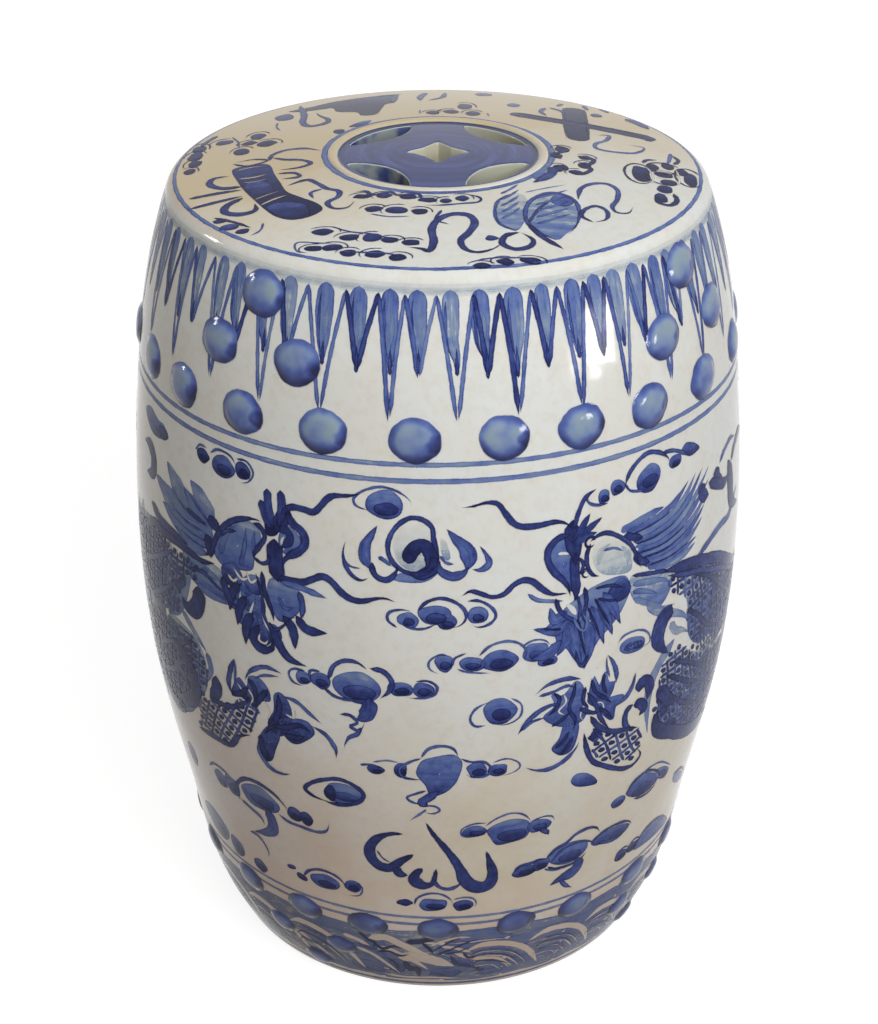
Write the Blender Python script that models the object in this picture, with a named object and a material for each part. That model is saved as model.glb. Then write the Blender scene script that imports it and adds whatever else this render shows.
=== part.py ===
"""Glazed ceramic garden stool: a hollow drum thrown in two halves, with an open
base, a crowned seat plate, a pierced coin medallion and rows of pressed bosses.

Units are metres, +Z is up, the origin is the centre of the foot on the ground,
and the front of the stool faces -Y. Azimuths are degrees from the front, and
they grow towards +X.
"""

import math

import bmesh
import bpy
from mathutils import Vector

# Drum wall: how far each place that shapes it rises above the one below it, and
# how far it draws in from the belly, where the drum is widest
BELLY_RADIUS = 0.1680
FOOT_INSET = 0.0464
HEEL_RISE = 0.017
HEEL_INSET = 0.0380
LOWER_RISE = 0.079
LOWER_INSET = 0.0184
FLANK_RISE = 0.080
FLANK_INSET = 0.0040
BELLY_RISE = 0.078
UPPER_RISE = 0.080
UPPER_INSET = 0.0046
NECK_RISE = 0.062
NECK_INSET = 0.0130
RIM_RISE = 0.0415
RIM_INSET = 0.0246
WALL = 0.011
FOOT_EASE = 0.0015
HALVES_MEET_BELOW_BELLY = 0.004

# Seat plate, which closes the drum and rounds over into its wall
LIP_RISE = 0.0020
SHOULDER_ROUND = 0.0088
SEAT_EDGE_TILT = math.radians(81.0)
SEAT_CROWN = 0.0112
SEAT_THICKNESS = 0.0125

# Coin medallion, let into the seat on a ledge
COIN_RADIUS = 0.058
COIN_LEDGE_WIDTH = 0.0048
COIN_LEDGE_THICKNESS = 0.004
COIN_THICKNESS = 0.0135
BEAD_WIDTH = 0.0052
BEAD_RISE = 0.0010
BEAD_SHOULDER_IN = 0.00094
BEAD_SHOULDER_DROP = 0.0004
FIELD_SINK = 0.0008
FIELD_CROWN = 0.0018

# Openings of the coin: a square finger hole set cornerwise and four lens slots
FINGER_HOLE_DIAGONAL = 0.032
FINGER_HOLE_BULGE = 0.0012
SLOT_OUTER_RADIUS = 0.0490
SLOT_WAIST_RADIUS = 0.0340
SLOT_HALF_ANGLE = 28.0

# Pressed bosses, luted on the wall in two rows and in clusters of three. They are
# low domes, a little wider than they are high.
BOSS_HALF_WIDTH = 0.0123
BOSS_HALF_HEIGHT = 0.0112
BOSS_RISE = 0.0024
BOSS_EDGE = 0.0006
LOW_BOSS_HALF_WIDTH = 0.0110
LOW_BOSS_HALF_HEIGHT = 0.0086
LOW_BOSS_RISE = 0.0020
UPPER_ROW_BELOW_RIM = 0.0720
UPPER_ROW_FRONT = (-67.5, -53.5, -37.0, -20.5, -4.0, 11.5, 26.0, 41.0, 57.5, 75.5)
UPPER_ROW_COUNT = 22
LOWER_ROW_HEIGHT = 0.0573
LOWER_ROW_FRONT = (-48.5, -31.5, -16.0, 0.0, 17.5, 32.5, 51.5)
LOWER_ROW_COUNT = 21
CLUSTER_COUNT = 4
UPPER_CLUSTER_AZIMUTH = -35.0
UPPER_CLUSTER_BELOW_RIM = 0.0405
UPPER_CLUSTER_RISE = 0.0285
UPPER_CLUSTER_SPREAD = 9.0
LOWER_CLUSTER_AZIMUTH = -32.0
LOWER_CLUSTER_HEIGHT = 0.0335
LOWER_CLUSTER_DROP = 0.0210
LOWER_CLUSTER_SPREAD = 8.5
LOWER_CLUSTER_HALF_WIDTH = 0.0090
LOWER_CLUSTER_HALF_HEIGHT = 0.0074
LOWER_CLUSTER_SINK = 0.0036

# Clearance between pieces that lie against each other
JOINT_GAP = 0.0003

# Facets
TURN_STEPS = 64
SHOULDER_STEPS = 5
CROWN_STEPS = 4
SLOT_STEPS = 7
FIELD_RINGS = (0.0, 0.5, 0.8)
BOSS_STEPS = 12
WALL_RING_SPACING = 0.0235
SHARP_ANGLE = math.radians(38.0)

# A boss's dome: how far out each ring lies, and how full its rise is there
BOSS_DOME = ((0.45, 0.90), (0.80, 0.60), (1.0, 0.0))

# How far a cutting prism runs past the coin at each face
CUTTER_OVERRUN = 0.010

CLAY = (0.78, 0.77, 0.73)
COBALT_WASH = (0.13, 0.17, 0.42)
DEEP_COBALT = (0.10, 0.13, 0.33)

# Wall stations from the foot up: rise from the one below, and inset from the belly
SHAPE = (
    (0.0, FOOT_INSET),
    (HEEL_RISE, HEEL_INSET),
    (LOWER_RISE, LOWER_INSET),
    (FLANK_RISE, FLANK_INSET),
    (BELLY_RISE, 0.0),
    (UPPER_RISE, UPPER_INSET),
    (NECK_RISE, NECK_INSET),
    (RIM_RISE, RIM_INSET),
)
STATIONS = [
    (sum(rise for rise, inset in SHAPE[: i + 1]), BELLY_RADIUS - SHAPE[i][1])
    for i in range(len(SHAPE))
]
FOOT_RADIUS = BELLY_RADIUS - FOOT_INSET
RIM_RADIUS = BELLY_RADIUS - RIM_INSET
RIM_HEIGHT = STATIONS[-1][0]
HALVES_MEET_AT = STATIONS[4][0] - HALVES_MEET_BELOW_BELLY


def chord(i):
    """Slope of the straight line from station i to the next."""
    (z0, r0), (z1, r1) = STATIONS[i], STATIONS[i + 1]
    return (r1 - r0) / (z1 - z0)


def span(i):
    return STATIONS[i + 1][0] - STATIONS[i][0]


def station_slope(i):
    """Slope of the wall where it passes station i."""
    last = len(STATIONS) - 1
    if i == 0:
        bend = (chord(1) - chord(0)) * span(0) / (span(0) + span(1))
        return chord(0) - bend
    if i == last:
        bend = (chord(last - 1) - chord(last - 2)) * span(last - 1)
        return chord(last - 1) + bend / (span(last - 1) + span(last - 2))
    before, after = span(i - 1), span(i)
    return (after * chord(i - 1) + before * chord(i)) / (before + after)


SLOPES = [station_slope(i) for i in range(len(STATIONS))]


def wall_radius(z):
    """Outside radius of the drum at a height, running on straight past its ends."""
    if z >= RIM_HEIGHT:
        return RIM_RADIUS + SLOPES[-1] * (z - RIM_HEIGHT)
    if z <= 0.0:
        return FOOT_RADIUS + SLOPES[0] * z
    i = max(k for k in range(len(STATIONS) - 1) if STATIONS[k][0] <= z)
    (z0, r0), (z1, r1) = STATIONS[i], STATIONS[i + 1]
    h = z1 - z0
    t = (z - z0) / h
    start = (2 * t - 3) * t * t + 1
    end = (3 - 2 * t) * t * t
    leave = t * (t - 1) ** 2 * h * SLOPES[i]
    arrive = t * t * (t - 1) * h * SLOPES[i + 1]
    return start * r0 + end * r1 + leave + arrive


def wall_slope(z):
    """Change of the radius with height."""
    step = 0.0004
    return (wall_radius(z + step) - wall_radius(z - step)) / (2 * step)


def skin_point(azimuth, z, lift):
    """The point that stands off the drum's outside by a lift along its normal."""
    angle = math.radians(azimuth)
    slope = wall_slope(z)
    length = math.hypot(1.0, slope)
    r = wall_radius(z) + lift / length
    return Vector((r * math.sin(angle), -r * math.cos(angle), z - lift * slope / length))


def heights(low, high):
    """Evenly spaced heights, close enough for the drum's curve."""
    count = max(2, math.ceil((high - low) / WALL_RING_SPACING))
    return [low + (high - low) * k / count for k in range(count + 1)]


# Seat, worked out from the rim that carries it
SEAT_JOINT = RIM_HEIGHT + JOINT_GAP
RIM_TILT = math.atan(-SLOPES[-1])
LIP_TOP = RIM_HEIGHT + LIP_RISE
LIP_TOP_RADIUS = wall_radius(LIP_TOP)
ROUND_CENTRE = (
    LIP_TOP_RADIUS - SHOULDER_ROUND * math.cos(RIM_TILT),
    LIP_TOP - SHOULDER_ROUND * math.sin(RIM_TILT),
)
SEAT_EDGE_RADIUS = ROUND_CENTRE[0] + SHOULDER_ROUND * math.cos(SEAT_EDGE_TILT)
SEAT_EDGE_HEIGHT = ROUND_CENTRE[1] + SHOULDER_ROUND * math.sin(SEAT_EDGE_TILT)
RIM_INNER_RADIUS = RIM_RADIUS - WALL


def seat_height(r):
    """Height of the crowned seat at a distance from the axis."""
    return SEAT_EDGE_HEIGHT + SEAT_CROWN * (1.0 - (r / SEAT_EDGE_RADIUS) ** 2)


SEAT_OPENING_RADIUS = COIN_RADIUS + JOINT_GAP
SEAT_UNDERSIDE = seat_height(SEAT_OPENING_RADIUS) - SEAT_THICKNESS
LEDGE_HEIGHT = SEAT_UNDERSIDE + COIN_LEDGE_THICKNESS
LEDGE_RADIUS = SEAT_OPENING_RADIUS - COIN_LEDGE_WIDTH
COIN_TOP = seat_height(COIN_RADIUS) + BEAD_RISE
FIELD_RADIUS = COIN_RADIUS - BEAD_WIDTH
FIELD_EDGE = COIN_TOP - BEAD_RISE - FIELD_SINK
COIN_BOTTOM = COIN_TOP - COIN_THICKNESS


def material(name, colour, roughness):
    made = bpy.data.materials.new(name)
    made.use_nodes = True
    shader = made.node_tree.nodes["Principled BSDF"]
    shader.inputs["Base Color"].default_value = (*colour, 1.0)
    shader.inputs["Roughness"].default_value = roughness
    shader.inputs["Metallic"].default_value = 0.0
    return made


def keep(name, mesh, colour, roughness=0.12):
    """Puts a finished mesh in the scene as a named, smooth-shaded piece."""
    mesh.shade_smooth()
    mesh.set_sharp_from_angle(angle=SHARP_ANGLE)
    piece = bpy.data.objects.new(name, mesh)
    bpy.context.scene.collection.objects.link(piece)
    piece.data.materials.append(material(name + "_glaze", colour, roughness))
    return piece


def turned(name, profile, closed):
    """Turns a section of (radius, height) points round the Z axis.

    A closed section makes a ring. An open one starts and ends on the axis.
    """
    bm = bmesh.new()
    verts = [bm.verts.new((0.0, -r, z)) for r, z in profile]
    edges = [bm.edges.new(pair) for pair in zip(verts, verts[1:])]
    if closed:
        edges.append(bm.edges.new((verts[-1], verts[0])))
    bmesh.ops.spin(
        bm,
        geom=verts + edges,
        cent=(0.0, 0.0, 0.0),
        axis=(0.0, 0.0, 1.0),
        angle=math.tau,
        steps=TURN_STEPS,
        use_merge=True,
    )
    bmesh.ops.remove_doubles(bm, verts=bm.verts, dist=0.00001)
    bmesh.ops.recalc_face_normals(bm, faces=bm.faces)
    mesh = bpy.data.meshes.new(name)
    bm.to_mesh(mesh)
    bm.free()
    return mesh


def wall_section(low, high):
    """Section of the drum's wall between two heights, outside up, inside down."""
    levels = heights(low, high)
    outside = [(wall_radius(z), z) for z in levels]
    inside = [(wall_radius(z) - WALL, z) for z in reversed(levels[::2] + levels[-1:])]
    if inside[0] == inside[1]:
        inside = inside[1:]
    return outside, inside


def make_barrel_upper():
    outside, inside = wall_section(HALVES_MEET_AT + JOINT_GAP, RIM_HEIGHT)
    mesh = turned("barrel_upper", outside + inside, closed=True)
    return keep("barrel_upper", mesh, CLAY)


def make_barrel_lower():
    """Lower half of the drum, on an eased foot, with its bottom clusters pressed on."""
    outside, inside = wall_section(0.0, HALVES_MEET_AT)
    foot_out = FOOT_RADIUS - FOOT_EASE
    foot_in = FOOT_RADIUS - WALL + FOOT_EASE
    heel = (BELLY_RADIUS - HEEL_INSET, HEEL_RISE)
    outside = [(foot_out, 0.0), (wall_radius(FOOT_EASE), FOOT_EASE), heel] + outside[1:]
    inside = inside[:-1] + [(wall_radius(FOOT_EASE) - WALL, FOOT_EASE), (foot_in, 0.0)]
    mesh = turned("barrel_lower", outside + inside, closed=True)
    barrel = keep("barrel_lower", mesh, CLAY)
    for i, (azimuth, z) in enumerate(lower_cluster_places()):
        name = "cluster_seed_%d" % i
        size = (LOWER_CLUSTER_HALF_WIDTH, LOWER_CLUSTER_HALF_HEIGHT)
        seed = boss_mesh(name, azimuth, z, size, LOW_BOSS_RISE, -LOWER_CLUSTER_SINK)
        seed_piece = bpy.data.objects.new(seed.name, seed)
        bpy.context.scene.collection.objects.link(seed_piece)
        seed_piece.hide_render = True
        seed_piece.display_type = "WIRE"
        join = barrel.modifiers.new("press_on_%d" % i, "BOOLEAN")
        join.operation = "UNION"
        join.solver = "EXACT"
        join.object = seed_piece
    return barrel


def make_seat_plate():
    """Crowned top with a rounded shoulder, a thick edge and a ledge for the coin."""
    sweep = SEAT_EDGE_TILT - RIM_TILT
    turn = [RIM_TILT + sweep * k / SHOULDER_STEPS for k in range(SHOULDER_STEPS + 1)]
    shoulder = [
        (ROUND_CENTRE[0] + SHOULDER_ROUND * math.cos(a), ROUND_CENTRE[1] + SHOULDER_ROUND * math.sin(a))
        for a in turn
    ]
    reach = SEAT_EDGE_RADIUS - SEAT_OPENING_RADIUS
    radii = [SEAT_EDGE_RADIUS - reach * k / CROWN_STEPS for k in range(1, CROWN_STEPS + 1)]
    crown = [(r, seat_height(r)) for r in radii]
    opening = [
        (SEAT_OPENING_RADIUS, LEDGE_HEIGHT),
        (LEDGE_RADIUS, LEDGE_HEIGHT),
        (LEDGE_RADIUS, SEAT_UNDERSIDE),
    ]
    width = RIM_INNER_RADIUS - LEDGE_RADIUS
    under_radii = [LEDGE_RADIUS + width * k / CROWN_STEPS for k in range(1, CROWN_STEPS)]
    underside = [(r, max(SEAT_JOINT, seat_height(r) - SEAT_THICKNESS)) for r in under_radii]
    underside.append((RIM_INNER_RADIUS, SEAT_JOINT))
    edge = [(wall_radius(SEAT_JOINT), SEAT_JOINT)]
    mesh = turned("seat_plate", edge + shoulder + crown + opening + underside, closed=True)
    return keep("seat_plate", mesh, CLAY)


def field_height(r):
    """Height of the coin's sunken, slightly crowned field."""
    return FIELD_EDGE + FIELD_CROWN * (1.0 - (r / FIELD_RADIUS) ** 2)


def slot_outline(middle):
    """A lens slot in plan: an arc that follows the rim, and a bulge to the centre."""
    half = math.radians(SLOT_HALF_ANGLE)
    corner = Vector((SLOT_OUTER_RADIUS * math.cos(half), SLOT_OUTER_RADIUS * math.sin(half)))
    depth = corner.x - SLOT_WAIST_RADIUS
    bulge = (depth ** 2 + corner.y ** 2) / (2 * depth)
    centre = SLOT_WAIST_RADIUS + bulge
    sweep = math.asin(corner.y / bulge)
    outer = [half * (2 * k / SLOT_STEPS - 1) for k in range(SLOT_STEPS + 1)]
    points = [(SLOT_OUTER_RADIUS * math.cos(a), SLOT_OUTER_RADIUS * math.sin(a)) for a in outer]
    inner = [sweep * (1 - 2 * k / SLOT_STEPS) for k in range(1, SLOT_STEPS)]
    points += [(centre - bulge * math.cos(a), bulge * math.sin(a)) for a in inner]
    turn = math.radians(middle)
    c, s = math.cos(turn), math.sin(turn)
    return [(x * c - y * s, x * s + y * c) for x, y in points]


def finger_hole_outline():
    """A square set cornerwise, its sides very slightly bowed inwards."""
    half = FINGER_HOLE_DIAGONAL / 2
    middle = half / 2 - FINGER_HOLE_BULGE
    points = []
    for k in range(4):
        a = math.radians(90.0 * k)
        m = math.radians(90.0 * k + 45.0)
        points.append((half * math.cos(a), half * math.sin(a)))
        points.append((middle * math.sqrt(2) * math.cos(m), middle * math.sqrt(2) * math.sin(m)))
    return points


def cutter(name, outline):
    """An upright prism through the whole coin, used only to cut it."""
    bm = bmesh.new()
    base = [bm.verts.new((x, y, COIN_BOTTOM - CUTTER_OVERRUN)) for x, y in outline]
    bottom = bm.faces.new(base)
    raised = bmesh.ops.extrude_face_region(bm, geom=[bottom])
    top = [v for v in raised["geom"] if isinstance(v, bmesh.types.BMVert)]
    bmesh.ops.translate(bm, verts=top, vec=(0.0, 0.0, COIN_THICKNESS + 2 * CUTTER_OVERRUN))
    bmesh.ops.recalc_face_normals(bm, faces=bm.faces)
    mesh = bpy.data.meshes.new(name)
    bm.to_mesh(mesh)
    bm.free()
    tool = bpy.data.objects.new(name, mesh)
    bpy.context.scene.collection.objects.link(tool)
    tool.hide_render = True
    tool.display_type = "WIRE"
    return tool


def make_coin_medallion():
    """The pierced coin: a beaded rim and a sunken field, with five openings."""
    bead_middle = FIELD_RADIUS + BEAD_WIDTH / 2
    rim_side = seat_height(COIN_RADIUS)
    bead = [
        (FIELD_RADIUS, field_height(FIELD_RADIUS)),
        (FIELD_RADIUS + BEAD_SHOULDER_IN, COIN_TOP - BEAD_SHOULDER_DROP),
        (bead_middle, COIN_TOP),
        (COIN_RADIUS - BEAD_SHOULDER_IN, COIN_TOP - BEAD_SHOULDER_DROP),
        (COIN_RADIUS, rim_side - BEAD_SHOULDER_DROP),
    ]
    field = [(FIELD_RADIUS * k, field_height(FIELD_RADIUS * k)) for k in FIELD_RINGS]
    step = [
        (COIN_RADIUS, LEDGE_HEIGHT + JOINT_GAP),
        (LEDGE_RADIUS - JOINT_GAP, LEDGE_HEIGHT + JOINT_GAP),
        (LEDGE_RADIUS - JOINT_GAP, COIN_BOTTOM),
        (0.0, COIN_BOTTOM),
    ]
    coin = keep("coin_medallion", turned("coin_medallion", field + bead + step, closed=False), DEEP_COBALT)
    tools = [cutter("finger_hole_cutter", finger_hole_outline())]
    tools += [cutter("slot_cutter_%d" % k, slot_outline(45.0 + 90.0 * k)) for k in range(4)]
    for tool in tools:
        cut = coin.modifiers.new(tool.name, "BOOLEAN")
        cut.operation = "DIFFERENCE"
        cut.solver = "EXACT"
        cut.object = tool
    return coin


def boss_point(azimuth, z, across, up, lift):
    """A point of a boss, by its offsets along the skin from the boss's middle."""
    slope = wall_slope(z)
    height = z + up / math.hypot(1.0, slope)
    turn = math.degrees(across / wall_radius(height))
    return skin_point(azimuth + turn, height, lift)


def boss_mesh(name, azimuth, z, size, rise, back):
    """A domed button that follows the curve of the wall behind it.

    size is its half width and half height. back is how far its rear face stands
    off the wall, negative where it is sunk in.
    """
    half_width, half_height = size
    bm = bmesh.new()
    peak = bm.verts.new(boss_point(azimuth, z, 0.0, 0.0, rise))
    tail = bm.verts.new(boss_point(azimuth, z, 0.0, 0.0, back))
    loops = []
    for share, swell in BOSS_DOME:
        lift = BOSS_EDGE + (rise - BOSS_EDGE) * swell
        loops.append((share, lift))
    loops.append((1.0, back))
    made = []
    for share, lift in loops:
        ring = []
        for k in range(BOSS_STEPS):
            a = math.tau * k / BOSS_STEPS
            across, up = share * half_width * math.cos(a), share * half_height * math.sin(a)
            ring.append(bm.verts.new(boss_point(azimuth, z, across, up, lift)))
        made.append(ring)
    for k in range(BOSS_STEPS):
        n = (k + 1) % BOSS_STEPS
        bm.faces.new((peak, made[0][k], made[0][n]))
        for near, far in zip(made, made[1:]):
            bm.faces.new((near[k], far[k], far[n], near[n]))
        bm.faces.new((tail, made[-1][n], made[-1][k]))
    bmesh.ops.recalc_face_normals(bm, faces=bm.faces)
    mesh = bpy.data.meshes.new(name)
    bm.to_mesh(mesh)
    bm.free()
    return mesh


def full_row(front, count):
    """The placed front bosses, and even spacing for the rest round the back."""
    rest = count - len(front)
    gap = (360.0 - (front[-1] - front[0])) / (rest + 1)
    return list(front) + [front[-1] + gap * (k + 1) for k in range(rest)]


def cluster_turns(first):
    return [first + 360.0 * k / CLUSTER_COUNT for k in range(CLUSTER_COUNT)]


def upper_cluster_places():
    """Each upper cluster is two bosses with a third above them."""
    places = []
    for middle in cluster_turns(UPPER_CLUSTER_AZIMUTH):
        base = RIM_HEIGHT - UPPER_CLUSTER_BELOW_RIM
        places.append((middle, base + UPPER_CLUSTER_RISE))
        places.append((middle - UPPER_CLUSTER_SPREAD, base))
        places.append((middle + UPPER_CLUSTER_SPREAD, base))
    return places


def lower_cluster_places():
    """Each lower cluster is two bosses with a third below them."""
    places = []
    for middle in cluster_turns(LOWER_CLUSTER_AZIMUTH):
        places.append((middle, LOWER_CLUSTER_HEIGHT - LOWER_CLUSTER_DROP))
        places.append((middle - LOWER_CLUSTER_SPREAD, LOWER_CLUSTER_HEIGHT))
        places.append((middle + LOWER_CLUSTER_SPREAD, LOWER_CLUSTER_HEIGHT))
    return places


def make_bosses():
    upper_row = RIM_HEIGHT - UPPER_ROW_BELOW_RIM
    rows = (
        ("upper_boss", [(a, upper_row) for a in full_row(UPPER_ROW_FRONT, UPPER_ROW_COUNT)]),
        ("cluster_boss", upper_cluster_places()),
    )
    for prefix, places in rows:
        for i, (azimuth, z) in enumerate(places, start=1):
            name = "%s_%02d" % (prefix, i)
            size = (BOSS_HALF_WIDTH, BOSS_HALF_HEIGHT)
            keep(name, boss_mesh(name, azimuth, z, size, BOSS_RISE, JOINT_GAP), COBALT_WASH)
    for i, azimuth in enumerate(full_row(LOWER_ROW_FRONT, LOWER_ROW_COUNT), start=1):
        name = "lower_boss_%02d" % i
        size = (LOW_BOSS_HALF_WIDTH, LOW_BOSS_HALF_HEIGHT)
        mesh = boss_mesh(name, azimuth, LOWER_ROW_HEIGHT, size, LOW_BOSS_RISE, JOINT_GAP)
        keep(name, mesh, COBALT_WASH)


def clear_scene():
    for old in list(bpy.data.objects):
        bpy.data.objects.remove(old, do_unlink=True)


def main():
    clear_scene()
    make_barrel_lower()
    make_barrel_upper()
    make_seat_plate()
    make_coin_medallion()
    make_bosses()


main()
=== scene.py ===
"""Looks of the garden stool: a glossy off-white glaze over cobalt brush painting.

The painting is laid on the glaze as thin brush marks that follow the drum and
the seat. The bosses and the coin carry theirs in their materials. Places on the
wall are (u, z) in millimetres: u runs round the belly from the front towards +X,
and z is the height. Places on the seat are (x, y) in millimetres, as seen from
above. A load is how much cobalt a mark holds, from 0, a thin wash, to 1, a pool.
"""

import math
import random

import bmesh
import bpy
import numpy as np
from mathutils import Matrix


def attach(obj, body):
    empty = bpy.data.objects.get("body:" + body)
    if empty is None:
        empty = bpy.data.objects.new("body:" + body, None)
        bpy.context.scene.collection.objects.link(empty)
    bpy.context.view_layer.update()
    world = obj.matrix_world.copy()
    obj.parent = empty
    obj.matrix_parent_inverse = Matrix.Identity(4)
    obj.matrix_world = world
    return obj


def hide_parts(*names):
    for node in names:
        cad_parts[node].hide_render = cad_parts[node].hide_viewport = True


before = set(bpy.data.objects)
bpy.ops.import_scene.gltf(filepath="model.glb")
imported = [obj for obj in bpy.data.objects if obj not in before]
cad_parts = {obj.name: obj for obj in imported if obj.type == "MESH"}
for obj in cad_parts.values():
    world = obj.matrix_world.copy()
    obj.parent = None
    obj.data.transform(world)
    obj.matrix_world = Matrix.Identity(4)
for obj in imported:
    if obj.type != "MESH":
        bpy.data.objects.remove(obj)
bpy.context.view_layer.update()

MM = 0.001

# Section of the drum's wall in mm, the same places that shape the CAD drum
WALL_HEIGHTS = np.array([0.0, 17.0, 96.0, 176.0, 254.0, 334.0, 396.0, 437.5])
WALL_RADII = np.array([121.6, 130.0, 149.6, 164.0, 168.0, 163.4, 155.0, 143.4])
WALL_THICKNESS = 11.0
FOOT_EASE = 1.5
HALVES_MEET = 250.0
BELLY_RADIUS = 168.0
RIM_HEIGHT = 437.5
LIP_RISE = 2.0
SHOULDER_ROUND = 8.8
SEAT_EDGE_TILT = math.radians(81.0)
SEAT_CROWN = 11.2
SEAT_THICKNESS = 12.5
COIN_RADIUS = 58.0
COIN_LEDGE_WIDTH = 4.8
COIN_LEDGE_THICKNESS = 4.0
COIN_THICKNESS = 13.5
BEAD_WIDTH = 5.2
BEAD_RISE = 1.0
FIELD_SINK = 0.8
FIELD_CROWN = 1.8
FINGER_HOLE_DIAGONAL = 32.0
FINGER_HOLE_BULGE = 1.2
SLOT_OUTER_RADIUS = 49.0
SLOT_WAIST_RADIUS = 34.0
SLOT_HALF_ANGLE = math.radians(28.0)

BOSS_SIZE = (12.3, 11.2)
BOSS_RISE = 2.4
LOW_BOSS_SIZE = (11.0, 8.6)
LOW_BOSS_RISE = 2.0
LOW_CLUSTER_SIZE = (9.0, 7.4)
LOW_CLUSTER_AZIMUTH = -32.0
LOW_CLUSTER_HEIGHT = 33.5
LOW_CLUSTER_DROP = 21.0
LOW_CLUSTER_SPREAD = 8.5

LATHE_STEPS = 288
OUTSIDE_STEP = 2.0
INSIDE_STEP = 12.0
LIP_STEP = 0.7
BOSS_RINGS = 18
BOSS_SPOKES = 40
COIN_VOXEL = 0.0006
COIN_SMOOTHING = 7

# Strength of the glaze's mirror gloss, and depths of its bumps in metres
GLAZE_SHINE = 0.2
PAINT_SHINE = 0.06
RIPPLE_DEPTH = 0.0011
PEEL_DEPTH = 0.00003
CLAY_RING_DEPTH = 0.0012


def tint(red, green, blue):
    """A colour as it looks on screen, 0 to 255, turned into shader values."""
    channels = []
    for value in (red, green, blue):
        share = value / 255.0
        low = share / 12.92
        high = ((share + 0.055) / 1.055) ** 2.4
        channels.append(low if share <= 0.04045 else high)
    return (*channels, 1.0)


GLAZE_COOL = tint(215, 219, 217)
GLAZE_WARM = tint(214, 214, 207)
GLAZE_MOTTLE = tint(203, 197, 184)
# Warmer tones of the glaze: low on the wall, towards the back of the seat and on the right side
WARM_BROWN = tint(192, 162, 138)
WARM_STRAW = tint(197, 179, 142)
IRON_SPECK = tint(160, 128, 98)
IRON_GREY = tint(86, 84, 92)
CLAY_PALE = tint(206, 190, 166)
CLAY_DARK = tint(178, 158, 134)
BOSS_THIN_WASH = tint(132, 150, 160)
BOSS_LOW_GREY = tint(74, 78, 98)
HOLE_WALL_COOL = tint(186, 198, 182)
HOLE_WALL_WARM = tint(204, 186, 164)
SLOT_WALL_BLUE = tint(62, 74, 128)
SLOT_WALL_GREY = tint(140, 148, 150)
SLOT_WALL_RIGHT = tint(176, 176, 160)
# Pale colour on the rounded edges of the coin's openings
PALE_EDGE = tint(186, 192, 178)
COBALT_STOPS = (
    (0.0, tint(152, 174, 194)),
    (0.25, tint(110, 132, 180)),
    (0.5, tint(76, 95, 158)),
    (0.75, tint(48, 60, 120)),
    (1.0, tint(29, 34, 76)),
)
WHITE = (1.0, 1.0, 1.0, 1.0)


# Charts: places on the skin and its normals

def station_slopes():
    span = np.diff(WALL_HEIGHTS)
    chord = np.diff(WALL_RADII) / span
    middle = (span[1:] * chord[:-1] + span[:-1] * chord[1:]) / (span[:-1] + span[1:])
    first = chord[0] - (chord[1] - chord[0]) * span[0] / (span[0] + span[1])
    last = chord[-1] + (chord[-1] - chord[-2]) * span[-1] / (span[-1] + span[-2])
    return np.concatenate([[first], middle, [last]])


SLOPES = station_slopes()


def wall_radius(z):
    """Outside radius at a height, running on straight past the two ends."""
    z = np.asarray(z, float)
    inside = np.clip(z, 0.0, RIM_HEIGHT)
    i = np.clip(np.searchsorted(WALL_HEIGHTS, inside, side="right") - 1, 0, len(WALL_HEIGHTS) - 2)
    h = WALL_HEIGHTS[i + 1] - WALL_HEIGHTS[i]
    t = (inside - WALL_HEIGHTS[i]) / h
    start = (2 * t - 3) * t * t + 1
    end = (3 - 2 * t) * t * t
    leave = t * (t - 1) ** 2 * h * SLOPES[i]
    arrive = t * t * (t - 1) * h * SLOPES[i + 1]
    radius = start * WALL_RADII[i] + end * WALL_RADII[i + 1] + leave + arrive
    above = np.maximum(z - RIM_HEIGHT, 0.0) * SLOPES[-1]
    below = np.minimum(z, 0.0) * SLOPES[0]
    return radius + above + below


def wall_slope(z):
    step = 0.4
    return (wall_radius(z + step) - wall_radius(z - step)) / (2 * step)


RIM_TILT = math.atan(-SLOPES[-1])
LIP_TOP = RIM_HEIGHT + LIP_RISE
ROUND_CENTRE_R = float(wall_radius(LIP_TOP)) - SHOULDER_ROUND * math.cos(RIM_TILT)
ROUND_CENTRE_Z = LIP_TOP - SHOULDER_ROUND * math.sin(RIM_TILT)
SEAT_EDGE_R = ROUND_CENTRE_R + SHOULDER_ROUND * math.cos(SEAT_EDGE_TILT)
SEAT_EDGE_Z = ROUND_CENTRE_Z + SHOULDER_ROUND * math.sin(SEAT_EDGE_TILT)


def seat_height(r):
    """Height of the crowned seat, and of the round that carries it over the shoulder."""
    r = np.asarray(r, float)
    crown = SEAT_EDGE_Z + SEAT_CROWN * (1.0 - (r / SEAT_EDGE_R) ** 2)
    reach = np.clip(r - ROUND_CENTRE_R, -SHOULDER_ROUND, SHOULDER_ROUND)
    shoulder = ROUND_CENTRE_Z + np.sqrt(SHOULDER_ROUND ** 2 - reach ** 2)
    return np.where(r <= SEAT_EDGE_R, crown, shoulder)


SEAT_OPENING = COIN_RADIUS + 0.3
SEAT_UNDERSIDE = float(seat_height(SEAT_OPENING)) - SEAT_THICKNESS
LEDGE_HEIGHT = SEAT_UNDERSIDE + COIN_LEDGE_THICKNESS
LEDGE_RADIUS = SEAT_OPENING - COIN_LEDGE_WIDTH
COIN_TOP = float(seat_height(COIN_RADIUS)) + BEAD_RISE
COIN_BOTTOM = COIN_TOP - COIN_THICKNESS
FIELD_RADIUS = COIN_RADIUS - BEAD_WIDTH
FIELD_EDGE = COIN_TOP - BEAD_RISE - FIELD_SINK


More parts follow.
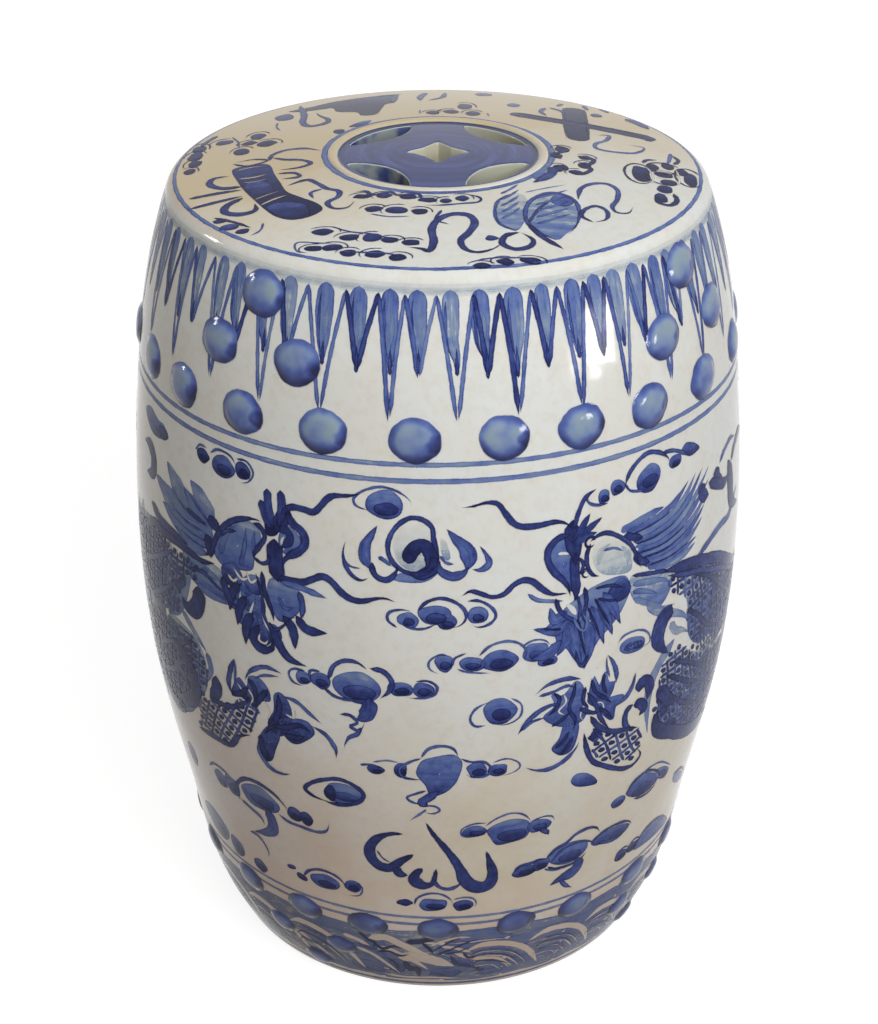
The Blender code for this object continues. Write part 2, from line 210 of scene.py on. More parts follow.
def wall_chart(u, z):
    """Points and outward normals for places on the wall."""
    u, z = np.asarray(u, float), np.asarray(z, float)
    angle = u / BELLY_RADIUS
    radius = wall_radius(z)
    slope = wall_slope(z)
    length = np.hypot(1.0, slope)
    points = np.stack([radius * np.sin(angle), -radius * np.cos(angle), z], axis=-1)
    normals = np.stack(
        [np.sin(angle) / length, -np.cos(angle) / length, -slope / length], axis=-1
    )
    return points, normals


def seat_chart(x, y):
    """Points and upward normals for places on the seat."""
    x, y = np.asarray(x, float), np.asarray(y, float)
    r = np.maximum(np.hypot(x, y), 0.001)
    step = 0.2
    slope = (seat_height(r + step) - seat_height(r - step)) / (2 * step)
    length = np.hypot(1.0, slope)
    points = np.stack([x, y, seat_height(r)], axis=-1)
    normals = np.stack([-slope * x / r / length, -slope * y / r / length, 1 / length], axis=-1)
    return points, normals


# Meshes

def add_object(name, data):
    made = bpy.data.objects.new(name, data)
    bpy.context.scene.collection.objects.link(made)
    return made


def mesh_piece(name, points, faces, material, normals=None, uvs=None):
    """A smooth-shaded mesh from points in mm, with its own normals where given."""
    mesh = bpy.data.meshes.new(name)
    mesh.from_pydata((np.asarray(points) * MM).tolist(), [], faces)
    mesh.validate()
    for layer, values in (uvs or {}).items():
        uv = mesh.uv_layers.new(name=layer)
        corner = np.empty(len(mesh.loops), dtype=np.int32)
        mesh.loops.foreach_get("vertex_index", corner)
        uv.data.foreach_set("uv", np.asarray(values, np.float32)[corner].ravel())
    mesh.shade_smooth()
    if normals is not None:
        mesh.normals_split_custom_set_from_vertices(np.asarray(normals).tolist())
    piece = add_object(name, mesh)
    mesh.materials.append(material)
    return piece


def place(piece, slot, *nodes):
    """Puts a piece on the stool's one rigid body, in place of the CAD nodes named."""
    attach(piece, "root")
    if nodes:
        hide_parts(*nodes)


def lathe(name, profile, normals, material, second=None, second_from=0):
    """Turns a closed section of (r, z) round the axis. second covers the later bands."""
    count = len(profile)
    angle = np.linspace(0.0, math.tau, LATHE_STEPS, endpoint=False)
    c, s = np.cos(angle)[:, None], np.sin(angle)[:, None]
    r, z = np.array(profile).T
    nr, nz = np.array(normals).T
    points = np.stack([r * s, -r * c, z + 0 * s], axis=-1).reshape(-1, 3)
    turned = np.stack([nr * s, -nr * c, nz + 0 * s], axis=-1).reshape(-1, 3)
    faces = []
    for i in range(LATHE_STEPS):
        here, there = i * count, (i + 1) % LATHE_STEPS * count
        for k in range(count):
            n = (k + 1) % count
            faces.append((here + k, there + k, there + n, here + n))
    piece = mesh_piece(name, points, faces, material, turned)
    if second:
        piece.data.materials.append(second)
        band = np.tile(np.arange(count) >= second_from, LATHE_STEPS)
        piece.data.polygons.foreach_set("material_index", band.astype(np.int32))
    return piece


def wall_section(first, last, step, inside=False):
    """Section of the wall with its normals, outside or inside."""
    levels = np.linspace(first, last, max(2, round(abs(last - first) / step)) + 1)
    slope = wall_slope(levels)
    length = np.hypot(1.0, slope)
    way = -1.0 if inside else 1.0
    inset = WALL_THICKNESS if inside else 0.0
    section = list(zip(wall_radius(levels) - inset, levels))
    return section, list(zip(way / length, -way * slope / length))


def make_drum(glaze, clay):
    """Both halves of the drum, glazed outside and bare inside, and the foot of the lower."""
    foot_radius = float(wall_radius(0.0))
    foot = [(foot_radius - WALL_THICKNESS + FOOT_EASE, 0.0), (foot_radius - FOOT_EASE, 0.0)]
    for name, node, low, high, ring in (
        ("drum_lower", "barrel_lower", FOOT_EASE, HALVES_MEET, foot),
        ("drum_upper", "barrel_upper", HALVES_MEET, RIM_HEIGHT, []),
    ):
        outer, outer_n = wall_section(low, high, OUTSIDE_STEP)
        inner, inner_n = wall_section(high, low, INSIDE_STEP, inside=True)
        normals = outer_n + inner_n + [(0.0, -1.0)] * len(ring)
        half = lathe(name, outer + inner + ring, normals, glaze, clay, len(outer) - 1)
        place(half, "white_glaze", node)


def make_seat(glaze, clay):
    """The seat plate: lip, rounded shoulder, crown, opening for the coin, underside."""
    section, normals = wall_section(RIM_HEIGHT, LIP_TOP, LIP_STEP)
    for a in np.linspace(RIM_TILT, SEAT_EDGE_TILT, 17)[1:]:
        r = ROUND_CENTRE_R + SHOULDER_ROUND * math.cos(a)
        section.append((r, ROUND_CENTRE_Z + SHOULDER_ROUND * math.sin(a)))
        normals.append((math.cos(a), math.sin(a)))
    for r in np.linspace(SEAT_EDGE_R, SEAT_OPENING, 41)[1:]:
        slope = 2 * SEAT_CROWN * r / SEAT_EDGE_R ** 2
        length = math.hypot(1.0, slope)
        section.append((r, float(seat_height(r))))
        normals.append((slope / length, 1 / length))
    top_count = len(section)
    hidden = [
        (SEAT_OPENING, LEDGE_HEIGHT),
        (LEDGE_RADIUS, LEDGE_HEIGHT),
        (LEDGE_RADIUS, SEAT_UNDERSIDE),
    ]
    inner = float(wall_radius(RIM_HEIGHT)) - WALL_THICKNESS
    for r in np.linspace(LEDGE_RADIUS, inner, 9)[1:]:
        hidden.append((r, max(RIM_HEIGHT, float(seat_height(r)) - SEAT_THICKNESS)))
    section += hidden
    normals += [(0.0, 0.0)] * len(hidden)
    seat = lathe("seat_plate_glazed", section, normals, glaze, clay, top_count + 1)
    place(seat, "white_glaze", "seat_plate")


# Bosses

def boss_swell(share):
    """Height of a boss as a share of its rise: domed, with a soft foot."""
    return (1 - 0.45 * share ** 2) / (1 + (share / 0.9) ** 8) - 0.01 * share ** 2


def boss_points(u, z, size, rise, across, up):
    """Places over a boss by offsets in mm along the skin from its middle."""
    slope = float(wall_slope(z))
    height = z + up / math.hypot(1.0, slope)
    points, normals = wall_chart(u + across * BELLY_RADIUS / wall_radius(height), height)
    share = np.hypot(across / size[0], up / size[1])
    return points + normals * (rise * boss_swell(share))[..., None]


def boss_grid(u, z, size, rise):
    """Points, normals and (across, up) map of one boss."""
    share = np.concatenate([[0.001], np.linspace(0, 1.2, BOSS_RINGS + 1)[1:]])
    turn = np.linspace(0, math.tau, BOSS_SPOKES, endpoint=False)
    across = (share[:, None] * np.cos(turn)) * size[0]
    up = (share[:, None] * np.sin(turn)) * size[1]
    step = 0.05
    points = boss_points(u, z, size, rise, across, up)
    side = boss_points(u, z, size, rise, across + step, up) - points
    rise_side = boss_points(u, z, size, rise, across, up + step) - points
    normals = np.cross(side, rise_side)
    normals /= np.linalg.norm(normals, axis=-1, keepdims=True)
    touch = np.stack([across / size[0], up / size[1]], axis=-1)
    return points.reshape(-1, 3), normals.reshape(-1, 3), touch.reshape(-1, 2)


def make_bosses(name, places, size, rise, material, nodes):
    """One piece holding a row of bosses, each a fine dome that eases into the wall."""
    grids = [boss_grid(u, z, size, rise) for u, z in places]
    points, normals, touch = (np.concatenate(part) for part in zip(*grids))
    faces = []
    for boss in range(len(places)):
        for i in range(BOSS_RINGS):
            near = (boss * (BOSS_RINGS + 1) + i) * BOSS_SPOKES
            far = near + BOSS_SPOKES
            for k in range(BOSS_SPOKES):
                n = (k + 1) % BOSS_SPOKES
                faces.append((near + k, far + k, far + n, near + n))
    piece = mesh_piece(name, points, faces, material, normals, {"button": touch})
    place(piece, "cobalt_wash", *nodes)


def low_cluster_places():
    """Four clusters near the foot: two small bosses with a third below them."""
    places = []
    for k in range(4):
        azimuth = LOW_CLUSTER_AZIMUTH + 90.0 * k
        for turn, z in (
            (0.0, LOW_CLUSTER_HEIGHT - LOW_CLUSTER_DROP),
            (-LOW_CLUSTER_SPREAD, LOW_CLUSTER_HEIGHT),
            (LOW_CLUSTER_SPREAD, LOW_CLUSTER_HEIGHT),
        ):
            places.append((math.radians(azimuth + turn) * BELLY_RADIUS, z))
    return places


def node_places(prefix):
    """Middle of each CAD boss of a row, as a place on the wall, with its node's name."""
    found = []
    for name in sorted(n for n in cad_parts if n.startswith(prefix)):
        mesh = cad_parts[name].data
        places = np.empty(len(mesh.vertices) * 3)
        mesh.vertices.foreach_get("co", places)
        x, y, z = places.reshape(-1, 3).mean(axis=0) / MM
        slope = float(wall_slope(z))
        lift = math.hypot(x, y) - float(wall_radius(z))
        found.append((math.atan2(x, -y) * BELLY_RADIUS, z + lift * slope, name))
    return found


# Shader building blocks

def new_material(name):
    made = bpy.data.materials.new(name)
    made.use_nodes = True
    return made, made.node_tree, made.node_tree.nodes["Principled BSDF"]


def feed(tree, socket, value):
    """Links a socket to another one, or sets it to a plain value."""
    if isinstance(value, bpy.types.NodeSocket):
        tree.links.new(value, socket)
    else:
        socket.default_value = value


def calc(tree, operation, a, b=0.0, clamp=False):
    node = tree.nodes.new("ShaderNodeMath")
    node.operation = operation
    node.use_clamp = clamp
    feed(tree, node.inputs[0], a)
    feed(tree, node.inputs[1], b)
    return node.outputs[0]


def times(tree, a, b, clamp=False):
    return calc(tree, "MULTIPLY", a, b, clamp)


def plus(tree, a, b, clamp=False):
    return calc(tree, "ADD", a, b, clamp)


def minus(tree, a, b):
    return calc(tree, "SUBTRACT", a, b)


def fade(tree, value, low, high, to_low=0.0, to_high=1.0):
    """Goes smoothly from one value to another as the input passes from low to high."""
    node = tree.nodes.new("ShaderNodeMapRange")
    node.interpolation_type = "SMOOTHSTEP"
    feed(tree, node.inputs["Value"], value)
    ends = {"From Min": low, "From Max": high, "To Min": to_low, "To Max": to_high}
    for key, number in ends.items():
        feed(tree, node.inputs[key], number)
    return node.outputs["Result"]


def blend(tree, share, a, b):
    """Colour between a and b."""
    node = tree.nodes.new("ShaderNodeMix")
    node.data_type = "RGBA"
    feed(tree, node.inputs["Factor"], share)
    feed(tree, node.inputs["A"], a)
    feed(tree, node.inputs["B"], b)
    return node.outputs["Result"]


def split_up(tree, vector):
    """The X, Y and Z of a vector."""
    node = tree.nodes.new("ShaderNodeSeparateXYZ")
    tree.links.new(vector, node.inputs[0])
    return node.outputs["X"], node.outputs["Y"], node.outputs["Z"]


def on_object(tree):
    """Place on the object in metres."""
    return tree.nodes.new("ShaderNodeTexCoord").outputs["Object"]


def here(tree, stretch=(1.0, 1.0, 1.0)):
    """Place on the object in metres, stretched along each axis."""
    scale = tree.nodes.new("ShaderNodeVectorMath")
    scale.operation = "MULTIPLY"
    scale.inputs[1].default_value = stretch
    tree.links.new(on_object(tree), scale.inputs[0])
    return scale.outputs[0]


def noise(tree, vector, scale, detail=2.0, roughness=0.5):
    node = tree.nodes.new("ShaderNodeTexNoise")
    tree.links.new(vector, node.inputs["Vector"])
    node.inputs["Scale"].default_value = scale
    node.inputs["Detail"].default_value = detail
    node.inputs["Roughness"].default_value = roughness
    return node.outputs["Fac"]


def unrest(tree, vector, scale, detail=2.0, roughness=0.5):
    """Noise that swings about zero."""
    return minus(tree, noise(tree, vector, scale, detail, roughness), 0.5)


def flat_vector(tree, x, y):
    node = tree.nodes.new("ShaderNodeCombineXYZ")
    feed(tree, node.inputs["X"], x)
    feed(tree, node.inputs["Y"], y)
    return node.outputs[0]


def bump(tree, height, depth, strength=None, under=None):
    """A bumped normal, over another one where it is given."""
    node = tree.nodes.new("ShaderNodeBump")
    node.inputs["Distance"].default_value = depth
    if strength is not None:
        node.inputs["Strength"].default_value = strength
    tree.links.new(height, node.inputs["Height"])
    if under is not None:
        tree.links.new(under, node.inputs["Normal"])
    return node.outputs[0]


def uv_parts(tree, layer):
    """The two values that a UV map carries."""
    uv = tree.nodes.new("ShaderNodeUVMap")
    uv.uv_map = layer
    return split_up(tree, uv.outputs["UV"])[:2]


def distance(tree, x, y):
    return calc(tree, "SQRT", plus(tree, times(tree, x, x), times(tree, y, y)))


def depth_inside(tree):
    """How far a place lies in from the edge of its brush mark, in mm."""
    across = uv_parts(tree, "stroke")[1]
    half_width = uv_parts(tree, "touch")[0]
    return times(tree, minus(tree, 1.0, calc(tree, "ABSOLUTE", across)), half_width)


def gloss(tree, shader, shine=GLAZE_SHINE):
    """The clear glaze over everything: glossy, faintly rippled and pitted."""
    ripple = noise(tree, here(tree, (1.0, 1.0, 1.6)), 17.0, 1.0)
    peel = noise(tree, here(tree), 260.0, 2.0)
    wave = bump(tree, ripple, RIPPLE_DEPTH, 0.55)
    tree.links.new(bump(tree, peel, PEEL_DEPTH, 0.6, wave), shader.inputs["Normal"])
    tree.links.new(fade(tree, peel, 0.3, 0.7, 0.07, 0.13), shader.inputs["Roughness"])
    shader.inputs["IOR"].default_value = 1.5
    shader.inputs["Specular IOR Level"].default_value = shine


# Materials

def glaze_colour(tree):
    """Off-white glaze: grey-green clouds, a warmer tone low on the wall, at the back of the seat and on the
    right side, fine mottling, a few iron specks.
    """
    clouds = noise(tree, here(tree), 20.0, 4.0, 0.6)
    mottle = noise(tree, here(tree), 190.0, 3.0, 0.6)
    colour = blend(tree, fade(tree, clouds, 0.36, 0.68), GLAZE_COOL, GLAZE_WARM)
    colour = blend(tree, fade(tree, mottle, 0.42, 0.72, 0.0, 0.36), colour, GLAZE_MOTTLE)
    x, y, z = split_up(tree, on_object(tree))
    # Warmer towards the back of the seat and low on the wall: straw yellow on the seat and on the right
    # side, browner elsewhere.
    on_seat = fade(tree, z, 0.4405, 0.4455)
    backwards = fade(tree, minus(tree, y, times(tree, x, 0.5)), -0.12, 0.1, 0.06, 1.5)
    low_down = fade(tree, z, 0.06, 0.26, 0.6, 0.0)
    warmth = plus(tree, times(tree, on_seat, backwards), low_down)
    warmth = times(tree, warmth, fade(tree, clouds, 0.3, 0.7, 0.75, 1.15), clamp=True)
    on_right = times(tree, fade(tree, x, -0.1, 0.05), fade(tree, z, 0.045, 0.1))
    straw = calc(tree, "MAXIMUM", on_seat, on_right)
    colour = blend(tree, warmth, colour, blend(tree, straw, WARM_BROWN, WARM_STRAW))
    speck = tree.nodes.new("ShaderNodeTexVoronoi")
    tree.links.new(here(tree), speck.inputs["Vector"])
    speck.inputs["Scale"].default_value = 75.0
    spots = fade(tree, speck.outputs["Distance"], 0.03, 0.06, 1.0, 0.0)
    patches = fade(tree, noise(tree, here(tree), 31.0), 0.56, 0.66, 0.0, 0.45)
    return blend(tree, times(tree, spots, patches), colour, IRON_SPECK)


def cobalt_colour(tree, load):
    """Cobalt under glaze, from a thin wash at 0 to a pooled line at 1."""
    ramp = tree.nodes.new("ShaderNodeValToRGB")
    ramp.color_ramp.elements[0].color = COBALT_STOPS[0][1]
    ramp.color_ramp.elements[1].color = COBALT_STOPS[-1][1]
    for position, colour in COBALT_STOPS[1:-1]:
        ramp.color_ramp.elements.new(position).color = colour
    feed(tree, ramp.inputs["Fac"], load)
    return ramp.outputs["Color"]


def make_glaze():
    made, tree, shader = new_material("white_glaze_skin")
    tree.links.new(glaze_colour(tree), shader.inputs["Base Color"])
    gloss(tree, shader)
    return made


def make_clay():
    """Bare fired clay inside the drum and under its foot."""
    made, tree, shader = new_material("bare_clay")
    grain = noise(tree, here(tree), 90.0, 5.0, 0.65)
    colour = blend(tree, fade(tree, grain, 0.35, 0.7), CLAY_PALE, CLAY_DARK)
    tree.links.new(colour, shader.inputs["Base Color"])
    rings = noise(tree, here(tree, (1.0, 1.0, 14.0)), 14.0, 2.0)
    tree.links.new(bump(tree, rings, CLAY_RING_DEPTH), shader.inputs["Normal"])
    tree.links.new(fade(tree, grain, 0.3, 0.7, 0.62, 0.85), shader.inputs["Roughness"])
    return made


def make_reserve():
    """Bare glaze left between washes, as soft-edged marks."""
    made, tree, shader = new_material("bare_glaze_marks")
    tree.links.new(glaze_colour(tree), shader.inputs["Base Color"])
    cover = fade(tree, depth_inside(tree), 0.0, 0.6, 0.0, 0.9)
    tree.links.new(cover, shader.inputs["Alpha"])
    gloss(tree, shader)
    return made


def make_paint():
    """Cobalt brush marks: soft edges, streaks along the stroke, darker pooled rims."""
    made, tree, shader = new_material("cobalt_brushwork")
    load = uv_parts(tree, "touch")[1]
    inward = depth_inside(tree)
    edge = plus(tree, inward, times(tree, unrest(tree, here(tree), 1300.0, 2.0), 0.5))
    lane_along, lane_across = uv_parts(tree, "lane")
    lane = flat_vector(tree, times(tree, lane_along, 0.06), times(tree, lane_across, 0.6))
    streak = unrest(tree, lane, 1.0, 3.0, 0.6)
    streak = times(tree, streak, fade(tree, load, 0.3, 1.0, 0.8, 0.3))
    blotch = unrest(tree, here(tree), 210.0, 3.0, 0.6)
    uneven = plus(tree, streak, times(tree, blotch, 0.5))
    uneven = times(tree, uneven, fade(tree, load, -0.2, 0.3, 0.25, 1.0))
    rim = fade(tree, inward, 0.2, 1.3, 0.22, 0.0)
    shade = plus(tree, plus(tree, load, uneven), rim)
    height = split_up(tree, on_object(tree))[2]
    iron = fade(tree, height, 0.05, 0.072, 0.35, 0.0)
    colour = blend(tree, iron, cobalt_colour(tree, shade), IRON_GREY)
    tree.links.new(colour, shader.inputs["Base Color"])
    cover = fade(tree, shade, -0.3, 0.5, 0.05, 0.97)
    soft = fade(tree, load, -0.1, 0.2, 1.8, 0.55)
    tree.links.new(times(tree, fade(tree, edge, 0.0, soft), cover), shader.inputs["Alpha"])
    gloss(tree, shader, PAINT_SHINE)
    return made


def make_boss_paint():
    """A boss under glaze: greyish wash, pale at the top, darker at its right and foot."""
    made, tree, shader = new_material("cobalt_wash_button")
    x, y = uv_parts(tree, "button")
    drift = unrest(tree, here(tree), 95.0, 2.0)
    wobble = plus(tree, distance(tree, x, y), times(tree, drift, 0.3))
    cover = fade(tree, wobble, 1.0, 1.07, 1.0, 0.0)
    pool = fade(tree, wobble, 0.6, 1.0, 0.0, 0.34)
    # Darker towards the foot of each boss and in a patch at its right.
    foot = fade(tree, y, -0.9, 0.3, 0.34, 0.0)
    right = distance(tree, minus(tree, x, 0.86), plus(tree, y, 0.1))
    dab = fade(tree, plus(tree, right, times(tree, drift, 0.9)), 0.14, 0.5, 0.36, 0.0)
    blotch = times(tree, unrest(tree, here(tree), 70.0, 2.0), 0.9)
    # Bosses low on the wall are darker and greyer.
    height = split_up(tree, here(tree))[2]
    base = fade(tree, height, 0.1, 0.2, 0.46, 0.2)
    load = plus(tree, plus(tree, pool, foot), plus(tree, blotch, base))
    load = plus(tree, load, dab, clamp=True)
    thin = fade(tree, load, 0.0, 0.5, 0.9, 0.0)
    wash = blend(tree, thin, cobalt_colour(tree, load), BOSS_THIN_WASH)
    wash = blend(tree, fade(tree, height, 0.1, 0.2, 0.3, 0.0), wash, BOSS_LOW_GREY)
    tree.links.new(wash, shader.inputs["Base Color"])
    tree.links.new(cover, shader.inputs["Alpha"])
    gloss(tree, shader)
    return made


def make_coin_paint():
    """Deep cobalt on the coin's field, bare glaze on its rim, thin glazes in its openings, paler on the
    coin's right-hand side and on their rounded edges.
    """
    made, tree, shader = new_material("cobalt_glaze_coin")
    x, y = split_up(tree, on_object(tree))[:2]
    reach = distance(tree, x, y)
    wobble = times(tree, unrest(tree, here(tree), 60.0), 0.0016)
    inside_rim = fade(tree, plus(tree, reach, wobble), 0.0527, 0.0533, 1.0, 0.0)
    facing = tree.nodes.new("ShaderNodeNewGeometry")
    tilt = split_up(tree, facing.outputs["Normal"])[2]
    turn = calc(tree, "ARCTAN2", y, x)
    track = flat_vector(tree, times(tree, reach, 160.0), calc(tree, "SINE", turn))
    load = fade(tree, noise(tree, track, 1.0, 3.0, 0.6), 0.3, 0.7, 0.64, 0.9)
    rim_pool = fade(tree, reach, 0.047, 0.0525, 0.0, 0.14)
    blue = cobalt_colour(tree, plus(tree, load, rim_pool))
    drift = noise(tree, here(tree), 70.0)
    hole_wall = blend(tree, drift, HOLE_WALL_COOL, HOLE_WALL_WARM)
    slot_wall = blend(tree, fade(tree, drift, 0.4, 0.62), SLOT_WALL_BLUE, SLOT_WALL_GREY)
    # Paler grey on the walls of the openings on the coin's right-hand side.
    slot_wall = blend(tree, fade(tree, x, -0.03, 0.03), slot_wall, SLOT_WALL_RIGHT)
    wall = blend(tree, fade(tree, reach, 0.017, 0.02), hole_wall, slot_wall)
    # Pale where the walls of the openings round over towards the top.
    wall = blend(tree, fade(tree, tilt, 0.25, 0.6), wall, PALE_EDGE)
    field = blend(tree, fade(tree, tilt, 0.72, 0.93), wall, blue)
    colour = blend(tree, inside_rim, glaze_colour(tree), field)
    tree.links.new(colour, shader.inputs["Base Color"])
    gloss(tree, shader)
    return made


# Coin medallion

def coin_section():
    """Half section of the coin from its centre over the field and bead to the bottom."""
    def field(r):
        return FIELD_EDGE + FIELD_CROWN * (1.0 - (r / FIELD_RADIUS) ** 2)

    section = [(r, field(r)) for r in np.linspace(0.0, FIELD_RADIUS, 24)]
    side = float(seat_height(COIN_RADIUS)) - BEAD_RISE * 0.4
    for turn in np.linspace(0.0, math.pi, 11)[1:]:
        share = (1 - math.cos(turn)) / 2
        base = field(FIELD_RADIUS) * (1 - share) + side * share
        top = math.sin(turn) ** 0.8 * (COIN_TOP - (field(FIELD_RADIUS) + side) / 2)
        section.append((FIELD_RADIUS + BEAD_WIDTH * share, base + top))
    ledge = LEDGE_HEIGHT + 0.3
    inner = LEDGE_RADIUS - 0.3
    section += [(COIN_RADIUS, ledge), (inner, ledge), (inner, COIN_BOTTOM), (0.0, COIN_BOTTOM)]
    return section


def slot_outline(middle):
    """A lens slot in plan: an arc that follows the rim, and a bulge to the centre."""
    corner_x = SLOT_OUTER_RADIUS * math.cos(SLOT_HALF_ANGLE)
    corner_y = SLOT_OUTER_RADIUS * math.sin(SLOT_HALF_ANGLE)
    depth = corner_x - SLOT_WAIST_RADIUS
    bulge = (depth ** 2 + corner_y ** 2) / (2 * depth)
    sweep = math.asin(corner_y / bulge)
    centre = SLOT_WAIST_RADIUS + bulge
    points = []
    for a in np.linspace(-SLOT_HALF_ANGLE, SLOT_HALF_ANGLE, 25):
        points.append((SLOT_OUTER_RADIUS * math.cos(a), SLOT_OUTER_RADIUS * math.sin(a)))
    for a in np.linspace(sweep, -sweep, 25)[1:-1]:
        points.append((centre - bulge * math.cos(a), bulge * math.sin(a)))
    c, s = math.cos(middle), math.sin(middle)
    return [(x * c - y * s, x * s + y * c) for x, y in points]


def finger_hole_outline():
    """A square set cornerwise, its sides bowed very slightly inwards."""
    half = FINGER_HOLE_DIAGONAL / 2
    waist = (half / 2 - FINGER_HOLE_BULGE) * math.sqrt(2)
    points = []
    for k in range(4):
        a, m = math.pi / 2 * k, math.pi / 2 * k + math.pi / 4
        points.append((half * math.cos(a), half * math.sin(a)))
        points.append((waist * math.cos(m), waist * math.sin(m)))
    return points


def prism(outline):
    """An upright cutter right through the coin."""
    low, high = COIN_BOTTOM - 10.0, COIN_TOP + 10.0
    count = len(outline)
    points = [(x, y, z) for z in (low, high) for x, y in outline]
    faces = [tuple(range(count))[::-1], tuple(range(count, 2 * count))]
    faces += [(k, (k + 1) % count, count + (k + 1) % count, count + k) for k in range(count)]
    mesh = bpy.data.meshes.new("cutter")
    mesh.from_pydata([(x * MM, y * MM, z * MM) for x, y, z in points], [], faces)
    return add_object("cutter", mesh)


def apply_modifiers(piece):
    """Gives a piece the mesh that its modifiers make, and drops them."""
    depsgraph = bpy.context.evaluated_depsgraph_get()
    made = bpy.data.meshes.new_from_object(piece.evaluated_get(depsgraph))
    piece.modifiers.clear()
    piece.data = made


def make_coin(material):
    """The pierced coin, its edges softened as a thick glaze softens them."""
    section = coin_section()
    bm = bmesh.new()
    verts = [bm.verts.new((0.0, -r * MM, z * MM)) for r, z in section]
    edges = [bm.edges.new(pair) for pair in zip(verts, verts[1:])]
    bmesh.ops.spin(
        bm,
        geom=verts + edges,
        cent=(0.0, 0.0, 0.0),
        axis=(0.0, 0.0, 1.0),
        angle=math.tau,
        steps=128,
        use_merge=True,
    )
    bmesh.ops.remove_doubles(bm, verts=bm.verts, dist=0.00001)
    bmesh.ops.recalc_face_normals(bm, faces=bm.faces)
    mesh = bpy.data.meshes.new("coin")
    bm.to_mesh(mesh)
    bm.free()
    coin = add_object("coin_glazed", mesh)
    outlines = [finger_hole_outline()]
    outlines += [slot_outline(math.pi / 4 + math.pi / 2 * k) for k in range(4)]
    tools = [prism(outline) for outline in outlines]
    for tool in tools:
        cut = coin.modifiers.new("cut", "BOOLEAN")
        cut.operation = "DIFFERENCE"
        cut.solver = "EXACT"
        cut.object = tool
    fine = coin.modifiers.new("fine", "REMESH")
    fine.mode = "VOXEL"
    fine.voxel_size = COIN_VOXEL
    soft = coin.modifiers.new("soft", "SMOOTH")
    soft.factor = 0.5
    soft.iterations = COIN_SMOOTHING
    apply_modifiers(coin)
    for tool in tools:
        bpy.data.objects.remove(tool, do_unlink=True)
    coin.data.shade_smooth()
    coin.data.materials.clear()
    coin.data.materials.append(material)
    place(coin, "cobalt_glaze", "coin_medallion")


# Brush marks

# How far each mark lies above the one before it, and the gap between marks in the bake map, in mm
MARK_RISE = 0.00015
MARK_MARGIN = 0.6


def smooth_path(points, step, closed=False):
    """Evenly spaced places on a smooth curve through the points given."""
    p = np.array(points, float)
    if closed:
        ring = np.concatenate([p[-1:], p, p[:2]])
    else:
        ring = np.concatenate([2 * p[:1] - p[1:2], p, 2 * p[-1:] - p[-2:-1]])
    t = np.linspace(0.0, 1.0, 9)[:-1, None]
    spans = []
    for a, b, c, d in zip(ring, ring[1:], ring[2:], ring[3:]):
        bend = (2 * a - 5 * b + 4 * c - d) * t ** 2 + (3 * b - a - 3 * c + d) * t ** 3
        spans.append(b + 0.5 * ((c - a) * t + bend))
    spans.append(ring[1:2] if closed else p[-1:])
    dense = np.concatenate(spans)
    run = np.concatenate([[0.0], np.cumsum(np.hypot(*np.diff(dense[:, :2], axis=0).T))])
    count = max(4, math.ceil(run[-1] / step) + 1)
    even = np.linspace(0.0, run[-1], count)
    return even, np.stack([np.interp(even, run, column) for column in dense.T], axis=-1)


def drawn_out(share, run, half, reach):
    """How full a mark is towards one end: drawn out to a point over a share, or round."""
    if reach > 0:
        return np.clip(share / reach, 0.0, 1.0) ** 0.75
    near = np.clip(1.0 - run / max(half, 0.01), 0.0, 1.0)
    return np.sqrt(1.0 - near ** 2)


